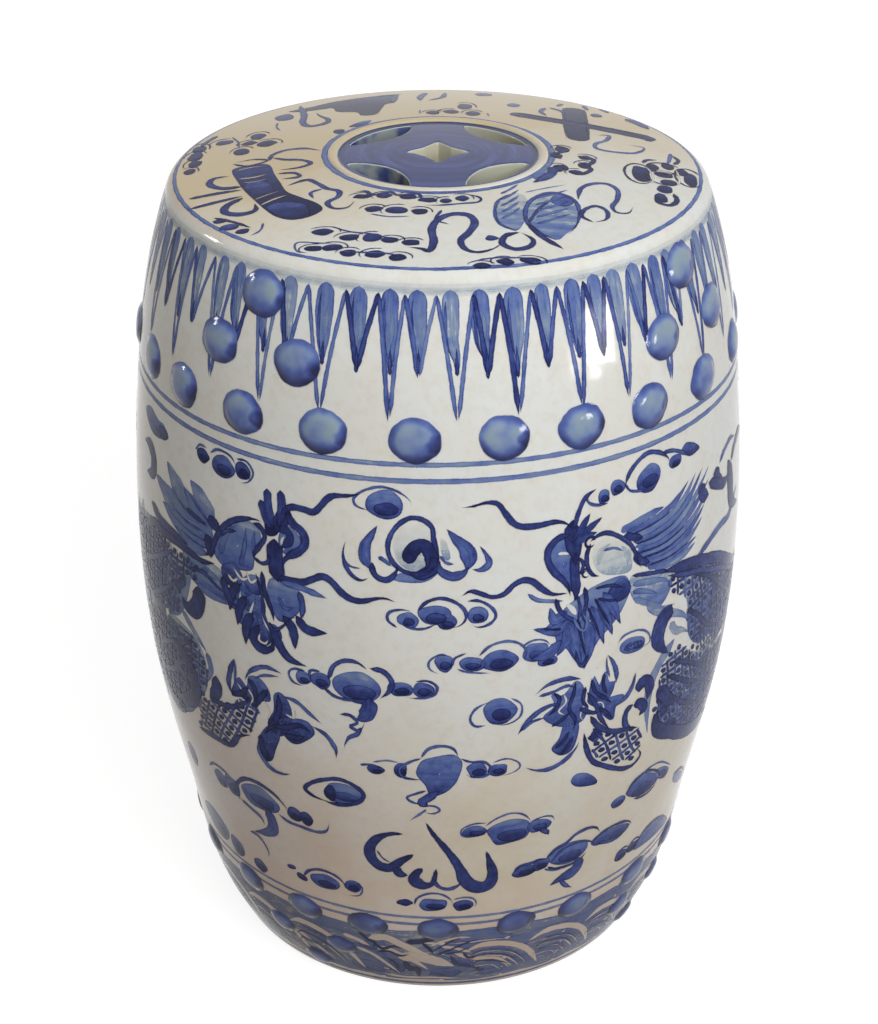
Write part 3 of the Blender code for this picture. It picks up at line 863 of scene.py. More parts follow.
class Layer:
    """Brush marks on one chart that become one piece, each a hair above the last."""

    def __init__(self, name, chart, lift, seed, gain=1.0):
        self.name, self.chart, self.lift, self.gain = name, chart, lift, gain
        self.chance = random.Random(seed)
        self.marks = []

    def line(self, points, width, load, start=0.12, end=0.3, step=1.3):
        """A stroke through (a, b) places, or (a, b, width) where the width varies."""
        run, path = smooth_path(points, step)
        total = run[-1]
        share = run / total
        half = (path[:, 2] if path.shape[1] > 2 else np.full(len(run), width)) * self.gain / 2
        half = half * drawn_out(share, run, half.max(), start)
        half = half * drawn_out(1.0 - share, total - run, half.max(), end)
        sway = self.chance.uniform(0.0, 6.0)
        loose = np.minimum(half, 1.2)
        half = half + loose * (0.09 * np.sin(run * 0.5 + sway) + 0.05 * np.sin(run * 1.3 + 2 * sway))
        half = np.maximum(half, 0.02)
        way = np.gradient(path[:, :2], axis=0)
        way /= np.maximum(np.hypot(*way.T), 1e-6)[:, None]
        across = np.array([-1.0, -0.5, 0.0, 0.5, 1.0])
        a = path[:, 0, None] - way[:, 1, None] * half[:, None] * across
        b = path[:, 1, None] + way[:, 0, None] * half[:, None] * across
        along = np.broadcast_to(run[:, None], a.shape)
        side = np.broadcast_to(across, a.shape)
        wide = np.broadcast_to(half[:, None], a.shape)
        flat = np.stack([along, side * wide + half.max()], axis=-1)
        pooled = load + 0.16 * (np.abs(2.0 * share - 1.0) ** 2 - 0.4)[:, None]
        self.marks.append((a, b, along, side, wide, pooled, flat, False))

    def wash(self, outline, load, step=2.0):
        """A filled shape inside a smooth closed outline."""
        run, ring = smooth_path(outline, step, closed=True)
        run, ring = run[:-1], ring[:-1, :2]
        middle = ring.mean(axis=0)
        share = np.array([0.02, 0.3, 0.55, 0.75, 0.9, 1.0])[:, None]
        a = middle[0] + (ring[:, 0] - middle[0]) * share
        b = middle[1] + (ring[:, 1] - middle[1]) * share
        reach = np.hypot(*(ring - middle).T)
        side = np.broadcast_to(share, a.shape)
        along = np.broadcast_to(run, a.shape)
        wide = np.broadcast_to(np.maximum(reach, 1.2), a.shape)
        flat = np.stack([a - a.min(), b - b.min()], axis=-1)
        low = (middle[1] - b) / np.abs(ring[:, 1] - middle[1]).max()
        self.marks.append((a, b, along, side, wide, load + 0.2 * low, flat, True))

    def dab(self, a, b, wide, high, load, lean=0.0):
        """A rounded blot of the brush, a little uneven."""
        outline = []
        spin = math.radians(lean)
        for k in range(9):
            turn = math.tau * k / 9
            loose = 1.0 + self.chance.uniform(-0.12, 0.12)
            x, y = wide * loose * math.cos(turn), high * loose * math.sin(turn)
            across = x * math.cos(spin) - y * math.sin(spin)
            rise = x * math.sin(spin) + y * math.cos(spin)
            outline.append((a + across, b + rise))
        self.wash(outline, load, step=1.2)

    def arc(self, a, b, wide, high, first, last, width, load, start=0.1, end=0.25):
        """Part of an ellipse drawn from one angle to another, in degrees."""
        count = max(4, int(abs(last - first) / 30) + 2)
        turns = np.radians(np.linspace(first, last, count))
        points = [(a + wide * math.cos(t), b + high * math.sin(t)) for t in turns]
        self.line(points, width, load, start, end, step=1.0)

    def packed(self):
        """Where each mark lies in the bake map: shelves of marks, tallest first."""
        sizes = [mark[6].reshape(-1, 2).max(axis=0) + MARK_MARGIN for mark in self.marks]
        area = sum(w * h for w, h in sizes)
        wide = max(max(w for w, h in sizes), math.sqrt(area * 1.25))
        spots = [None] * len(sizes)
        x = y = shelf = 0.0
        for i in sorted(range(len(sizes)), key=lambda k: -sizes[k][1]):
            w, h = sizes[i]
            if x + w > wide:
                x, y, shelf = 0.0, y + shelf, 0.0
            spots[i] = (x, y)
            x += w
            shelf = max(shelf, h)
        return spots, wide, y + shelf

    def build(self, material, slot="cobalt_wash"):
        spots, wide, high = self.packed()
        points, normals, faces = [], [], []
        maps = {"stroke": [], "touch": [], "lane": [], "OFBake": []}
        base = 0
        for i, (a, b, along, side, half, load, flat, wrap) in enumerate(self.marks):
            place_at, normal = self.chart(a, b)
            lift = self.lift + MARK_RISE * i
            rows, columns = a.shape
            points.append((place_at + normal * lift).reshape(-1, 3))
            normals.append(normal.reshape(-1, 3))
            layers = {
                "stroke": np.stack([along + 31.7 * i, side], axis=-1),
                "touch": np.stack([half, np.broadcast_to(load, a.shape)], axis=-1),
                "lane": flat * (0.3 if wrap else 1.0) + spots[i],
                "OFBake": (flat + spots[i] + MARK_MARGIN / 2) / (wide, high),
            }
            for key, values in layers.items():
                maps[key].append(values.reshape(-1, 2))
            turn = np.cross(place_at[1, 0] - place_at[0, 0], place_at[1, 1] - place_at[1, 0])
            outward = float(np.dot(turn, normal[1, 0])) < 0.0
            for r in range(rows - 1):
                near, far = base + r * columns, base + (r + 1) * columns
                for c in range(columns if wrap else columns - 1):
                    n = (c + 1) % columns
                    corners = (near + c, near + n, far + n, far + c)
                    faces.append(corners if outward else corners[::-1])
            base += rows * columns
        uvs = {key: np.concatenate(values) for key, values in maps.items()}
        points, normals = np.concatenate(points), np.concatenate(normals)
        place(mesh_piece(self.name, points, faces, material, normals, uvs), slot)


# Painting: cloud, pearl and flame motifs on the wall

def blots(layer, spots):
    """Blots of the brush: (a, b, wide, high, load), with a lean where given."""
    for a, b, wide, high, load, *lean in spots:
        layer.dab(a, b, wide, high, load, *lean)


def strokes(layer, rows, start=0.12, end=0.3):
    """Lines of the brush: (width, load, places)."""
    for width, load, *points in rows:
        layer.line(points, width, load, start, end)


class Drawing:
    """The wall layers, with every place shifted round the wall as it is drawn."""

    def __init__(self, fill, pool, bare, ink, shift):
        self.fill, self.pool, self.bare, self.ink, self.shift = fill, pool, bare, ink, shift

    def moved(self, points):
        return [(u + self.shift, *rest) for u, *rest in points]

    def line(self, width, load, *points, start=0.12, end=0.3):
        self.ink.line(self.moved(points), width, 0.9 * load, start, end)

    def wash(self, load, *outline):
        self.fill.wash(self.moved(outline), load)

    def stroke(self, width, load, *points, start=0.1, end=0.5):
        """A broad stroke over the washes."""
        self.pool.line(self.moved(points), width, load, start, end)

    def blot(self, u, z, wide, high, load, lean=0.0):
        self.pool.dab(u + self.shift, z, wide, high, load, lean)

    def gap(self, width, *points):
        """A sliver left bare in a wash."""
        self.bare.line(self.moved(points), width, 0.0, 0.2, 0.3)

    def puff(self, u, z, wide, high, load=0.55):
        """A rounded cloud lobe with the colour pooled low on it."""
        self.fill.dab(u + self.shift, z, 1.1 * wide, 1.12 * high, load - 0.04)
        self.blot(u + 0.12 * wide, z - 0.3 * high, 0.7 * wide, 0.56 * high, load + 0.25)

    def ring(self, u, z, wide, high, first, last, width=1.3, load=0.7):
        self.ink.arc(u + self.shift, z, wide, high, first, last, width, load)


def paint_pearl(d):
    """The flaming pearl between the dragons."""
    d.wash(-0.1, (-23, 311), (-20, 319), (-12, 323), (-4, 321), (-2, 312), (-3, 302), (-10, 297),
           (-19, 300))
    d.wash(0.05, (1, 315), (4, 314), (6, 308), (6, 303), (3, 304), (1, 309))
    d.line(2.3, 0.85, (-1, 301), (0, 306), (-2, 314), (-3, 321), (-8, 325), (-14, 325.5), (-20, 321.5),
           (-24, 315), (-25, 308), (-22.5, 301.5), (-17, 297), (-10, 295.5), (-4, 297), (-1, 300.5),
           end=0.1)
    d.line(5.8, 1.05, (-15, 301), (-13.5, 307), (-9.5, 311), (-5.5, 310), (-3, 305), (-4.5, 299),
           (-10, 297.5),
           start=0.0, end=0.3)
    d.line(4.6, 1.0, (-4, 306), (-1.5, 301), (-4, 297), (-9, 295), (-15, 296.5), start=0.2, end=0.3)
    d.line(4.8, 0.68, (-30, 321), (-33.5, 315), (-36.5, 309), (-36.5, 302), (-33, 296), start=0.5, end=0.25)
    d.line(2.2, 0.8, (-46.5, 311), (-48, 304), (-46.5, 297), (-43, 292), (-38.5, 290), (-34.5, 292),
           start=0.5)
    d.line(1.3, 0.6, (-47.5, 300), (-44, 297), (-38.5, 296.5))
    d.line(2.8, 0.85, (-33, 301), (-32.5, 295.5), (-29, 292), (-24.5, 292), (-21, 296), (-20, 300.5))
    d.line(2.0, 0.7, (-30, 304), (-26.5, 302), (-23, 299))
    d.wash(0.35, (-22, 291.5), (-10, 290.5), (-3, 293), (1, 298), (-5, 295.5), (-13, 294.5), (-19, 296))
    d.line(6.4, 0.7, (4, 320.5), (9, 314.5), (14, 309), (15.5, 303), (14, 297), start=0.6, end=0.25)
    d.line(4.0, 0.78, (0, 303), (1.5, 297.5), (7, 294.5), (12.5, 296), (15.5, 300), start=0.3)
    d.line(1.6, 0.55, (1, 306), (4, 302), (8.5, 301))
    d.line(3.0, 0.65, (20.5, 311), (24, 305.5), (25.5, 300.5), (21.5, 297.5), (16.5, 298), start=0.5)


def paint_clouds_near_pearl(d):
    d.puff(-27, 331.5, 9, 7)
    d.line(1.4, 0.6, (-35, 328), (-41.5, 330), (-42.5, 334), (-37, 338.5), (-28, 341), (-19, 338.5),
           (-13.5, 334), (-14, 331))
    d.puff(-15, 270, 5, 4.4)
    d.puff(-2, 273, 8, 5.6)
    d.puff(4.5, 269, 5, 4.2, 0.65)
    d.puff(19.5, 272, 5, 4.6)
    d.line(1.5, 0.75, (-20, 265), (-25, 269), (-24.5, 273.5), (-19, 275.5), (-13, 275))
    d.line(1.8, 0.8, (-11, 274), (-6, 280), (1, 282.5), (8, 280.5), (13, 276), (14, 271), (11, 267),
           (6, 265.5))
    d.line(1.4, 0.7, (-18, 267), (-12, 265), (-6, 265.5), (0, 268.5))
    d.line(1.6, 0.72, (14, 280.5), (20, 280.5), (26, 277), (29, 271.5), (26, 267), (20, 265.5), (16, 268))
    d.puff(3, 245, 4.6, 4.8)
    d.puff(17, 244, 6, 4.4)
    d.puff(31, 245, 9, 6.3, 0.6)
    d.puff(50, 247, 7, 5.6, 0.5)
    d.puff(56.5, 241, 5, 3.4, 0.65)
    d.line(1.2, 0.6, (5, 250), (0, 250), (-4.5, 246), (-4, 241.5), (1, 238.5))
    d.line(1.4, 0.65, (7, 243), (8, 247.5), (11, 249.5), (15, 251))
    d.line(1.5, 0.6, (20, 248), (26, 254), (34, 256), (41, 254), (45, 248.5), (43, 242))
    d.line(1.2, 0.45, (9, 242), (15, 239.5), (27, 238))
    d.ring(50, 247, 8.5, 7.5, 150, 20, 1.2, 0.45)


def paint_tailed_cloud_a(d):
    d.puff(-42, 227, 13, 8.8, 0.5)
    d.line(2.2, 0.75, (-57, 229), (-54, 238), (-48, 242.5), (-41, 242.5), (-35.5, 238.5))
    d.line(2.6, 0.85, (-35, 240), (-28, 239), (-23.5, 233.5), (-25, 227), (-30, 222))
    d.puff(-71, 227, 4.4, 4)
    d.puff(-61.5, 228, 5, 4.8, 0.6)
    d.puff(-19, 229, 6, 4.4, 0.65)
    d.puff(-7.5, 229, 5.6, 4.4, 0.6)
    d.line(1.4, 0.6, (-69, 231.5), (-76, 231.5), (-79.5, 228), (-77, 223), (-70, 222))
    d.line(1.5, 0.7, (-61, 233.5), (-67, 232.5), (-67, 226))
    d.line(1.5, 0.65, (-12, 234), (-5, 234.5), (-0.5, 231), (-2, 226), (-9, 224), (-17, 224))
    d.line(1.8, 0.75, (-60, 224.5), (-54, 220), (-46, 219), (-40, 221))
    d.line(6.5, 0.78, (-35, 222), (-35.5, 215), (-38.5, 209.5), (-43, 207), start=0.2, end=0.35)
    d.line(1.8, 0.7, (-52, 209), (-46, 209.5), (-42, 205.5), (-46, 202.5), (-41, 200.5), (-38, 206))
    d.line(2.4, 0.65, (-40, 203), (-42.5, 198), (-47, 195), (-49.5, 190), (-50, 187), end=0.6)


def paint_tailed_cloud_b(d):
    d.wash(0.5, (-12, 176), (-9, 184), (-2, 187), (8, 188.5), (13, 183), (12, 175), (9, 167.5),
           (3, 161.5), (-4, 160), (-7, 167), (-10, 171.5))
    d.line(1.8, 0.62, (-9, 186), (-5, 192), (2, 194), (8, 192), (11, 186))
    d.line(1.6, 0.65, (-8, 186), (-15, 183), (-20.5, 178), (-19, 173), (-13, 171.5), (-7, 171.5))
    d.puff(-20, 177, 3.6, 5.2, 0.75)
    d.puff(-33, 176, 4.6, 3, 0.75)
    d.line(1.6, 0.7, (-42, 178), (-36, 179), (-30, 177.5))
    d.line(1.2, 0.4, (-35, 181), (-27, 183), (-20, 182))
    d.puff(21, 177, 5.5, 5, 0.62)
    d.puff(32, 176, 5, 4, 0.68)
    d.line(1.5, 0.65, (11, 186), (17, 183), (24, 182.5), (28, 178), (26, 173), (18, 172.5), (14, 176))
    d.line(1.1, 0.5, (28, 181), (36, 183), (42.5, 180), (44, 176), (40, 173), (33, 171.5))
    d.line(4.2, 0.78, (1, 164), (-5, 159), (-9, 155.5), (-5, 152.5), start=0.3, end=0.2)
    d.line(1.5, 0.62, (-6, 164), (-12, 161.5), (-17, 158.5), (-13, 155), (-7, 154))
    d.line(1.3, 0.5, (-7, 153), (-2, 153), (1, 150), (-3, 147.5), (-8, 149))
    d.line(1.5, 0.42, (-6, 151), (-10, 147), (-14, 143.5), (-16, 141), end=0.6)


def paint_low_clouds(d):
    """Ovals, chains and tailed clouds over the lower half of the wall."""
    d.puff(32, 214, 8, 7.2, 0.58)
    d.line(1.4, 0.55, (25, 206), (19, 206), (16.5, 211), (19.5, 217), (27, 221))
    d.line(1.2, 0.45, (37, 222), (43, 217), (43, 210), (38, 206), (30, 205))
    d.blot(108, 235.5, 9.5, 5.2, 0.42, -8)
    d.blot(109, 234.6, 6.5, 3.0, 0.78, -8)
    d.line(1.3, 0.45, (97, 239.5), (102, 243.5), (111, 243.5), (118, 239.5), (120, 233.5), (114, 231))
    d.wash(0.6, (75, 158), (78, 162.5), (85, 161), (91, 156), (94, 150.5), (87, 150.5), (79, 153))
    d.puff(-53, 155.5, 11, 6.6, 0.5)
    d.blot(-60.5, 154, 3.8, 6, 0.95)
    d.line(2.3, 0.9, (-67, 148.5), (-60, 147), (-51, 148), (-43, 152.5), (-41, 158), (-46, 163),
           (-54, 165.5),
           (-62, 163.5), (-70, 159.5), (-76, 153.5), (-72, 149.5), (-64, 147.5), end=0.1)
    d.puff(41, 130, 12, 8.6, 0.58)
    d.puff(21, 133, 6.6, 4.2, 0.62)
    d.puff(59, 131, 7, 4.6, 0.55)
    d.line(3.0, 0.85, (60, 128), (64, 125), (66, 122))
    d.line(1.3, 0.45, (26, 136), (32, 141), (40, 144), (47, 142.5), (52, 138), (54, 133))
    d.line(1.2, 0.5, (28, 139), (20, 139), (13.5, 135.5), (14, 130.5), (22, 128.5))
    d.line(1.2, 0.5, (53, 135), (60, 137), (66, 136), (69, 131.5))
    d.wash(0.58, (119, 131), (124, 137.5), (132, 140), (140, 137), (147, 132), (150, 127), (143, 123),
           (136, 122.5),
           (128, 124.5))
    d.line(1.8, 0.85, (118, 130), (123, 138), (132, 141), (141, 138), (148, 133), (152, 127))
    d.line(1.6, 0.8, (127, 124), (136, 121.5), (144, 122), (150, 126))
    d.blot(153, 130, 10, 4.4, 0.5, -30)
    d.blot(154, 128.6, 6.5, 2.8, 0.9, -30)
    d.blot(134, 128, 9, 4.6, 0.84)
    d.puff(114, 128, 5.6, 3.8, 0.6)
    d.line(1.3, 0.5, (126, 138), (135, 142), (146, 141), (156, 135), (165, 128))
    d.puff(82, 102, 13, 7.6, 0.55)
    d.line(2.2, 0.75, (67, 103), (72, 109), (79, 111.5), (85, 116), (93, 117.5), (100, 115), (104, 109.5))
    d.line(1.8, 0.7, (70, 99), (77, 107), (88, 109), (97, 106), (102, 101))
    d.puff(54, 97, 8, 4, 0.75)
    d.puff(64, 99.5, 5.6, 4.6, 0.72)
    d.wash(0.66, (98, 104), (107, 108), (118, 108.5), (127, 106), (131, 102.5), (125, 98), (113, 99.5),
           (103, 99.5))
    d.line(2.4, 0.85, (104, 102), (112, 99), (122, 98), (127, 99.5))
    d.line(2.0, 0.9, (97, 104), (106, 109), (118, 110), (128, 107), (133, 102))
    d.line(2.0, 0.9, (68, 97), (73, 93.5), (82, 92.5), (91, 94), (97, 99))
    d.line(2.0, 0.85, (46, 98), (50, 102), (57, 102.5), (62, 104), (68, 103))
    d.line(6.5, 0.8, (88, 97), (91, 91), (88, 86), (80, 84), (72, 80.5), start=0.2, end=0.45)
    d.line(2.6, 0.75, (79, 83), (84, 77), (90, 73), end=0.5)
    d.line(1.4, 0.55, (66, 95.5), (74, 92), (83, 92))
    d.puff(-112, 132, 14.5, 8, 0.5)
    d.line(2.4, 0.8, (-130, 121), (-131, 130), (-126, 138), (-118, 143), (-108, 143.5), (-99, 140.5),
           (-93, 135),
           (-90, 130))
    d.puff(-86.5, 130, 5, 5, 0.8)
    d.puff(-78.5, 130, 4.2, 5, 0.8)
    d.line(2.0, 0.6, (-99, 126.5), (-92, 123), (-83, 122.5), (-73, 122), (-66, 125), (-63.5, 132))
    d.puff(-135, 130, 6, 6.5, 0.5)
    d.puff(-146, 129, 5.6, 5.6, 0.5)
    d.line(1.6, 0.5, (-157, 133), (-150, 138), (-141, 138), (-133, 136))
    d.line(6.0, 0.75, (-108, 127), (-105, 119), (-106, 111), (-113, 105.5), (-124, 101.5), start=0.15,
           end=0.5)
    d.line(2.2, 0.6, (-129, 123), (-121, 120), (-114, 116.5), (-112, 111))
    d.line(2.0, 0.5, (-129, 99), (-122, 99.5), (-117, 95), (-115, 89), (-117, 84), end=0.6)
    d.puff(-73, 83.5, 9, 5.2, 0.6)
    d.line(1.8, 0.7, (-89, 82), (-83.5, 88.5), (-75, 92), (-66, 91), (-60, 86.5), (-59, 81))
    d.puff(-54, 85, 5.6, 4.2, 0.68)
    d.line(1.1, 0.5, (-51, 89.5), (-47.5, 85), (-50, 79), (-58, 77))
    d.blot(-90, 81, 5, 3, 0.85, -15)
    d.blot(-97, 86, 4, 1.9, 0.75, 10)
    d.puff(-3, 77, 9, 4.8, 0.6)
    d.line(1.5, 0.6, (-15, 76), (-13, 82), (-6, 86), (2, 85.5), (8, 81), (9, 76))
    d.blot(-21, 78, 5.4, 3, 0.88)
    d.puff(16, 76, 6, 4, 0.78)
    d.line(1.2, 0.5, (9, 81), (16, 82.5), (22, 81), (24, 77), (22, 73))
    d.wash(0.55, (143, 77), (150, 85), (160, 88), (172, 85), (184, 78), (193, 71), (176, 72), (158, 74))
    d.puff(130, 80, 5.6, 3.8, 0.85)
    d.puff(141, 81, 5.6, 3.6, 0.8)
    d.line(1.8, 0.85, (142, 76), (149, 86), (160, 89), (172, 86), (185, 78.5), (195, 70))
    d.line(1.6, 0.75, (126, 77), (125, 83), (131, 85.5), (137, 83.5))
    d.line(1.6, 0.75, (137, 78), (138, 85), (144, 86.5), (148, 83))
    d.line(1.6, 0.8, (173, 117), (186, 114), (198, 106), (203, 98))
    d.wash(0.5, (174, 116), (185, 113), (197, 105), (202, 98), (190, 101), (178, 108))
    d.wash(0.5, (-192, 84), (-182, 92), (-167, 91), (-157, 83), (-164, 73), (-181, 73))
    d.blot(-168, 79, 6, 4, 0.8)
    d.puff(-149, 77, 7, 6.5, 0.55)
    d.puff(-126, 74, 5.6, 4.8, 0.75)
    d.puff(-182, 127, 6.5, 7, 0.6)


def paint_flames(d):
    """Dark flame strokes low on the front, between the lower clouds."""
    d.line(5.0, 0.95, (-19, 131.5, 1.4), (-27, 131, 2.4), (-35, 126.5, 4.0), (-40, 118.5, 5.2),
           (-39.5, 110.5, 5.6),
           (-34.5, 105, 5.4), (-28, 105, 5.2), (-22, 110.5, 4.0), (-14, 116.5, 2.6), start=0.05, end=0.05)
    d.line(1.2, 0.7, (-36, 117.5), (-32.5, 111.5), (-27.5, 108.5))
    d.line(4.6, 0.95, (-25, 106), (-23.5, 101), (-18, 99.5), start=0.1, end=0.4)
    d.line(5.0, 0.95, (-9, 106, 2.6), (-13.5, 101, 4.4), (-14, 96, 6.4), (-9.5, 92.5, 5.4), (-4, 93.5, 3.0),
           (-2, 99, 2.6), (-1, 106, 2.2), start=0.05, end=0.1)
    d.line(2.3, 0.75, (-3, 98), (0, 92), (6, 89.5), (12, 92), (15, 96))
    d.line(5.0, 0.92, (-7, 141.5, 1.2), (-3, 133, 2.2), (3, 123.5, 3.2), (9, 113.5, 4.0), (13.5, 104, 5.0),
           (16, 97, 6.6), (20.5, 91.5, 7.0), (27, 89.5, 6.8), (32, 92.5, 6.2), (33, 100, 5.2),
           (31, 108, 3.6),
           (28, 118, 1.2), start=0.03, end=0.03)


def paint_high_clouds(d):
    """Clouds under the double line, beside the dragons' heads."""
    d.puff(-136.5, 334, 5, 4, 0.82)
    d.puff(-121, 333, 8, 5.8, 0.6)
    d.puff(-107, 335, 5, 4.4, 0.8)
    d.line(1.4, 0.6, (-131, 337), (-125, 341), (-116, 340.5), (-111, 336))
    d.line(1.3, 0.6, (-112, 340), (-104.5, 340.5), (-100, 335.5), (-103, 330), (-108.5, 328))
    d.line(1.3, 0.6, (-143, 335), (-139, 339), (-133, 339))
    d.wash(0.6, (-206, 334), (-196, 338.5), (-184, 336), (-176, 336), (-170, 331), (-178, 327), (-190, 325),
           (-200, 328))
    d.blot(-177, 331, 6.5, 4.2, 0.85)
    d.puff(88, 326, 3.6, 3.5, 0.62)
    d.puff(96.5, 329, 4.6, 4, 0.62)
    d.puff(118, 328, 8.6, 6.6, 0.6)
    d.puff(138, 330, 5.4, 3.6, 0.65)
    d.blot(152, 332, 9, 4, 0.68, -16)
    d.line(1.5, 0.7, (91, 322), (84, 322.5), (79, 325), (78, 329), (84, 331.5))
    d.line(2.3, 0.8, (101, 328), (104.5, 334.5), (111, 339.5), (118, 341.5), (126, 339), (132, 334.5),
           (134, 330))
    d.line(1.5, 0.7, (101, 330), (104.5, 325), (111, 323), (117, 322.5))
    d.line(2.0, 0.75, (127, 338.5), (137, 336.5), (146, 332), (152, 327.5))


# Painting: dragons

def inside(point, outline):
    """Whether a place lies inside a closed outline."""
    x, y = point
    held = False
    for (x0, y0), (x1, y1) in zip(outline, outline[1:] + outline[:1]):
        if (y0 > y) != (y1 > y) and x < (x1 - x0) * (y - y0) / (y1 - y0) + x0:
            held = not held
    return held


def paint_scales(d, outline, way, pitch, load=0.55):
    """Dragon scales inside an outline: a slanting net with a dark dab in each cell."""
    middle = np.mean(outline, axis=0)
    first, second = math.radians(way - 42.0), math.radians(way + 42.0)

    def spot(p, q):
        bend = 0.14 * math.sin(1.1 * p + 0.7 * q)
        return (middle[0] + pitch * ((p + bend) * math.cos(first) + (q - bend) * math.cos(second)),
                middle[1] + pitch * ((p + bend) * math.sin(first) + (q - bend) * math.sin(second)))

    reach, parts = 14, 3
    last = reach * parts
    for row in range(-reach, reach + 1):
        for crossed in (False, True):
            held = []
            for n in range(-last, last + 1):
                at = spot(row, n / parts) if crossed else spot(n / parts, row)
                if inside(at, outline):
                    held.append(at)
                if len(held) > 2 and (n == last or not inside(at, outline)):
                    d.line(1.7, load + 0.14 * (row % 3), *held, start=0.05, end=0.08)
                if not inside(at, outline):
                    held = []
        for column in range(-reach, reach + 1):
            u, z = spot(row + 0.5, column + 0.5)
            if inside((u, z), outline):
                d.blot(u, z, pitch * 0.36, pitch * 0.26, 0.85, way)


def paint_right_head(d):
    """Head of the right dragon: pale crest, streaky mane, whiskers and snout."""
    d.wash(-0.04, (81, 300), (88, 304), (97, 300), (104, 293), (106, 285), (104, 280), (94, 281), (86, 284),
           (81, 291))
    d.stroke(7.0, -0.02, (84, 289), (86, 296), (92, 300), start=0.5, end=0.6)
    d.stroke(6.0, 0.02, (102, 284), (103, 290), (98, 297), start=0.5, end=0.6)
    for load, *hair in (
        (0.42, (98, 304.5), (109, 306.5), (120, 308), (129, 308.5)),
        (0.5, (101, 302), (114, 303), (127, 305), (139, 309), (150, 316)),
        (0.3, (104, 299), (119, 299.5), (133, 302), (146, 308), (157, 318)),
        (0.45, (106, 296), (121, 296), (136, 299), (150, 306), (164, 318)),
        (0.32, (107, 293), (123, 292.5), (139, 296), (154, 303.5), (171, 316)),
        (0.5, (108, 290), (125, 289.5), (142, 293), (157, 300.5), (171, 309)),
        (0.36, (109, 287), (127, 286), (144, 289), (157, 295), (168, 303)),
        (0.52, (111, 284), (128, 283), (145, 286), (157, 291), (166, 297)),
        (0.4, (113, 281), (129, 280), (145, 282), (155, 285.5), (163, 290)),
        (0.46, (116, 278.5), (131, 277), (146, 278.5), (157, 281)),
        (0.3, (121, 276), (134, 274.5), (148, 275.5), (156, 278)),
    ):
        d.stroke(4.6, load, *hair, start=0.05, end=0.28)
    for hair in (
        ((103, 300.5), (117, 301.5), (130, 303.5), (143, 308)),
        ((107, 294.5), (122, 294.3), (138, 297.5), (153, 305)),
        ((109, 289), (126, 288), (143, 291), (158, 298)),
        ((111, 285.5), (128, 284.5), (145, 287.5), (158, 293.5)),
        ((114, 280), (130, 278.7), (146, 280.4), (158, 284)),
    ):
        d.line(1.2, 0.85, *hair, end=0.7)
    d.line(3.6, 0.95, (100, 302), (106, 299), (113, 296.5))
    d.line(3.8, 0.92, (107, 289.5), (110.5, 284.5), (118, 280.5))
    d.line(2.3, 0.9, (79, 303.5), (84, 306), (90, 306), (97, 302), (103, 297), (107, 291), (109, 285),
           (112, 279))
    d.line(1.4, 0.4, (87, 297), (94, 296.5), (100, 293))
    d.wash(0.5, (57, 308), (64, 310), (70, 304), (69, 292), (71, 278), (66, 281), (60, 290), (56, 299))
    d.line(3.2, 0.9, (69, 310), (62, 309.5), (56.5, 304.5), (56, 298), (59.5, 291), (64, 286), (67, 281),
           (68.5, 275))
    d.gap(2.4, (61, 301), (65, 300.5), (68, 299.5))
    d.line(6.6, 1.0, (70, 318), (69, 309), (71, 300), (71, 292), start=0.2, end=0.4)
    d.line(4.4, 0.95, (71, 300), (70.5, 292), (71, 284), (71.5, 277), (70.5, 272))
    for tip in ((80, 319.5), (87, 315.5), (84, 308)):
        d.line(3.4, 0.85, (70, 304), ((70 + tip[0]) / 2, (306 + tip[1]) / 2), tip, start=0.05, end=0.35)
    d.ring(79.5, 303.5, 2.8, 2.8, 0, 340, 1.6, 0.9)
    d.line(1.8, 0.9, (73, 297), (75.5, 292), (74, 287), (78, 289))
    d.ring(77, 287, 2.0, 2.4, 0, 330, 1.2, 0.8)
    d.line(2.3, 0.95, (80, 303), (77.5, 297), (78, 290), (81, 285), (85.5, 283))
    d.line(2.6, 0.9, (10, 331, 0.8), (17, 331.5, 1.2), (24, 333, 1.7), (30, 332, 2.3), (34, 326.5, 2.8),
           (38, 321, 2.9), (43, 318.5, 2.9), (51, 318, 2.9), (60, 318.5, 3.2), (66, 316.5, 3.4),
           (70, 312, 3.4))
    d.line(2.4, 0.85, (70, 312), (73, 321), (77, 328), (84, 331.5))
    d.line(2.4, 0.9, (11, 283, 1.4), (16, 286, 2.3), (21, 284.5, 2.3), (27, 282, 2.2), (33, 283, 2.4),
           (38, 287.5, 2.7), (43, 289.5, 2.8), (48, 288, 3.0), (53, 283, 3.2), (59, 279, 3.4),
           (68, 278, 3.4))
    d.line(2.0, 0.45, (45, 282), (50, 277.5), (57, 275.5), (65, 274))


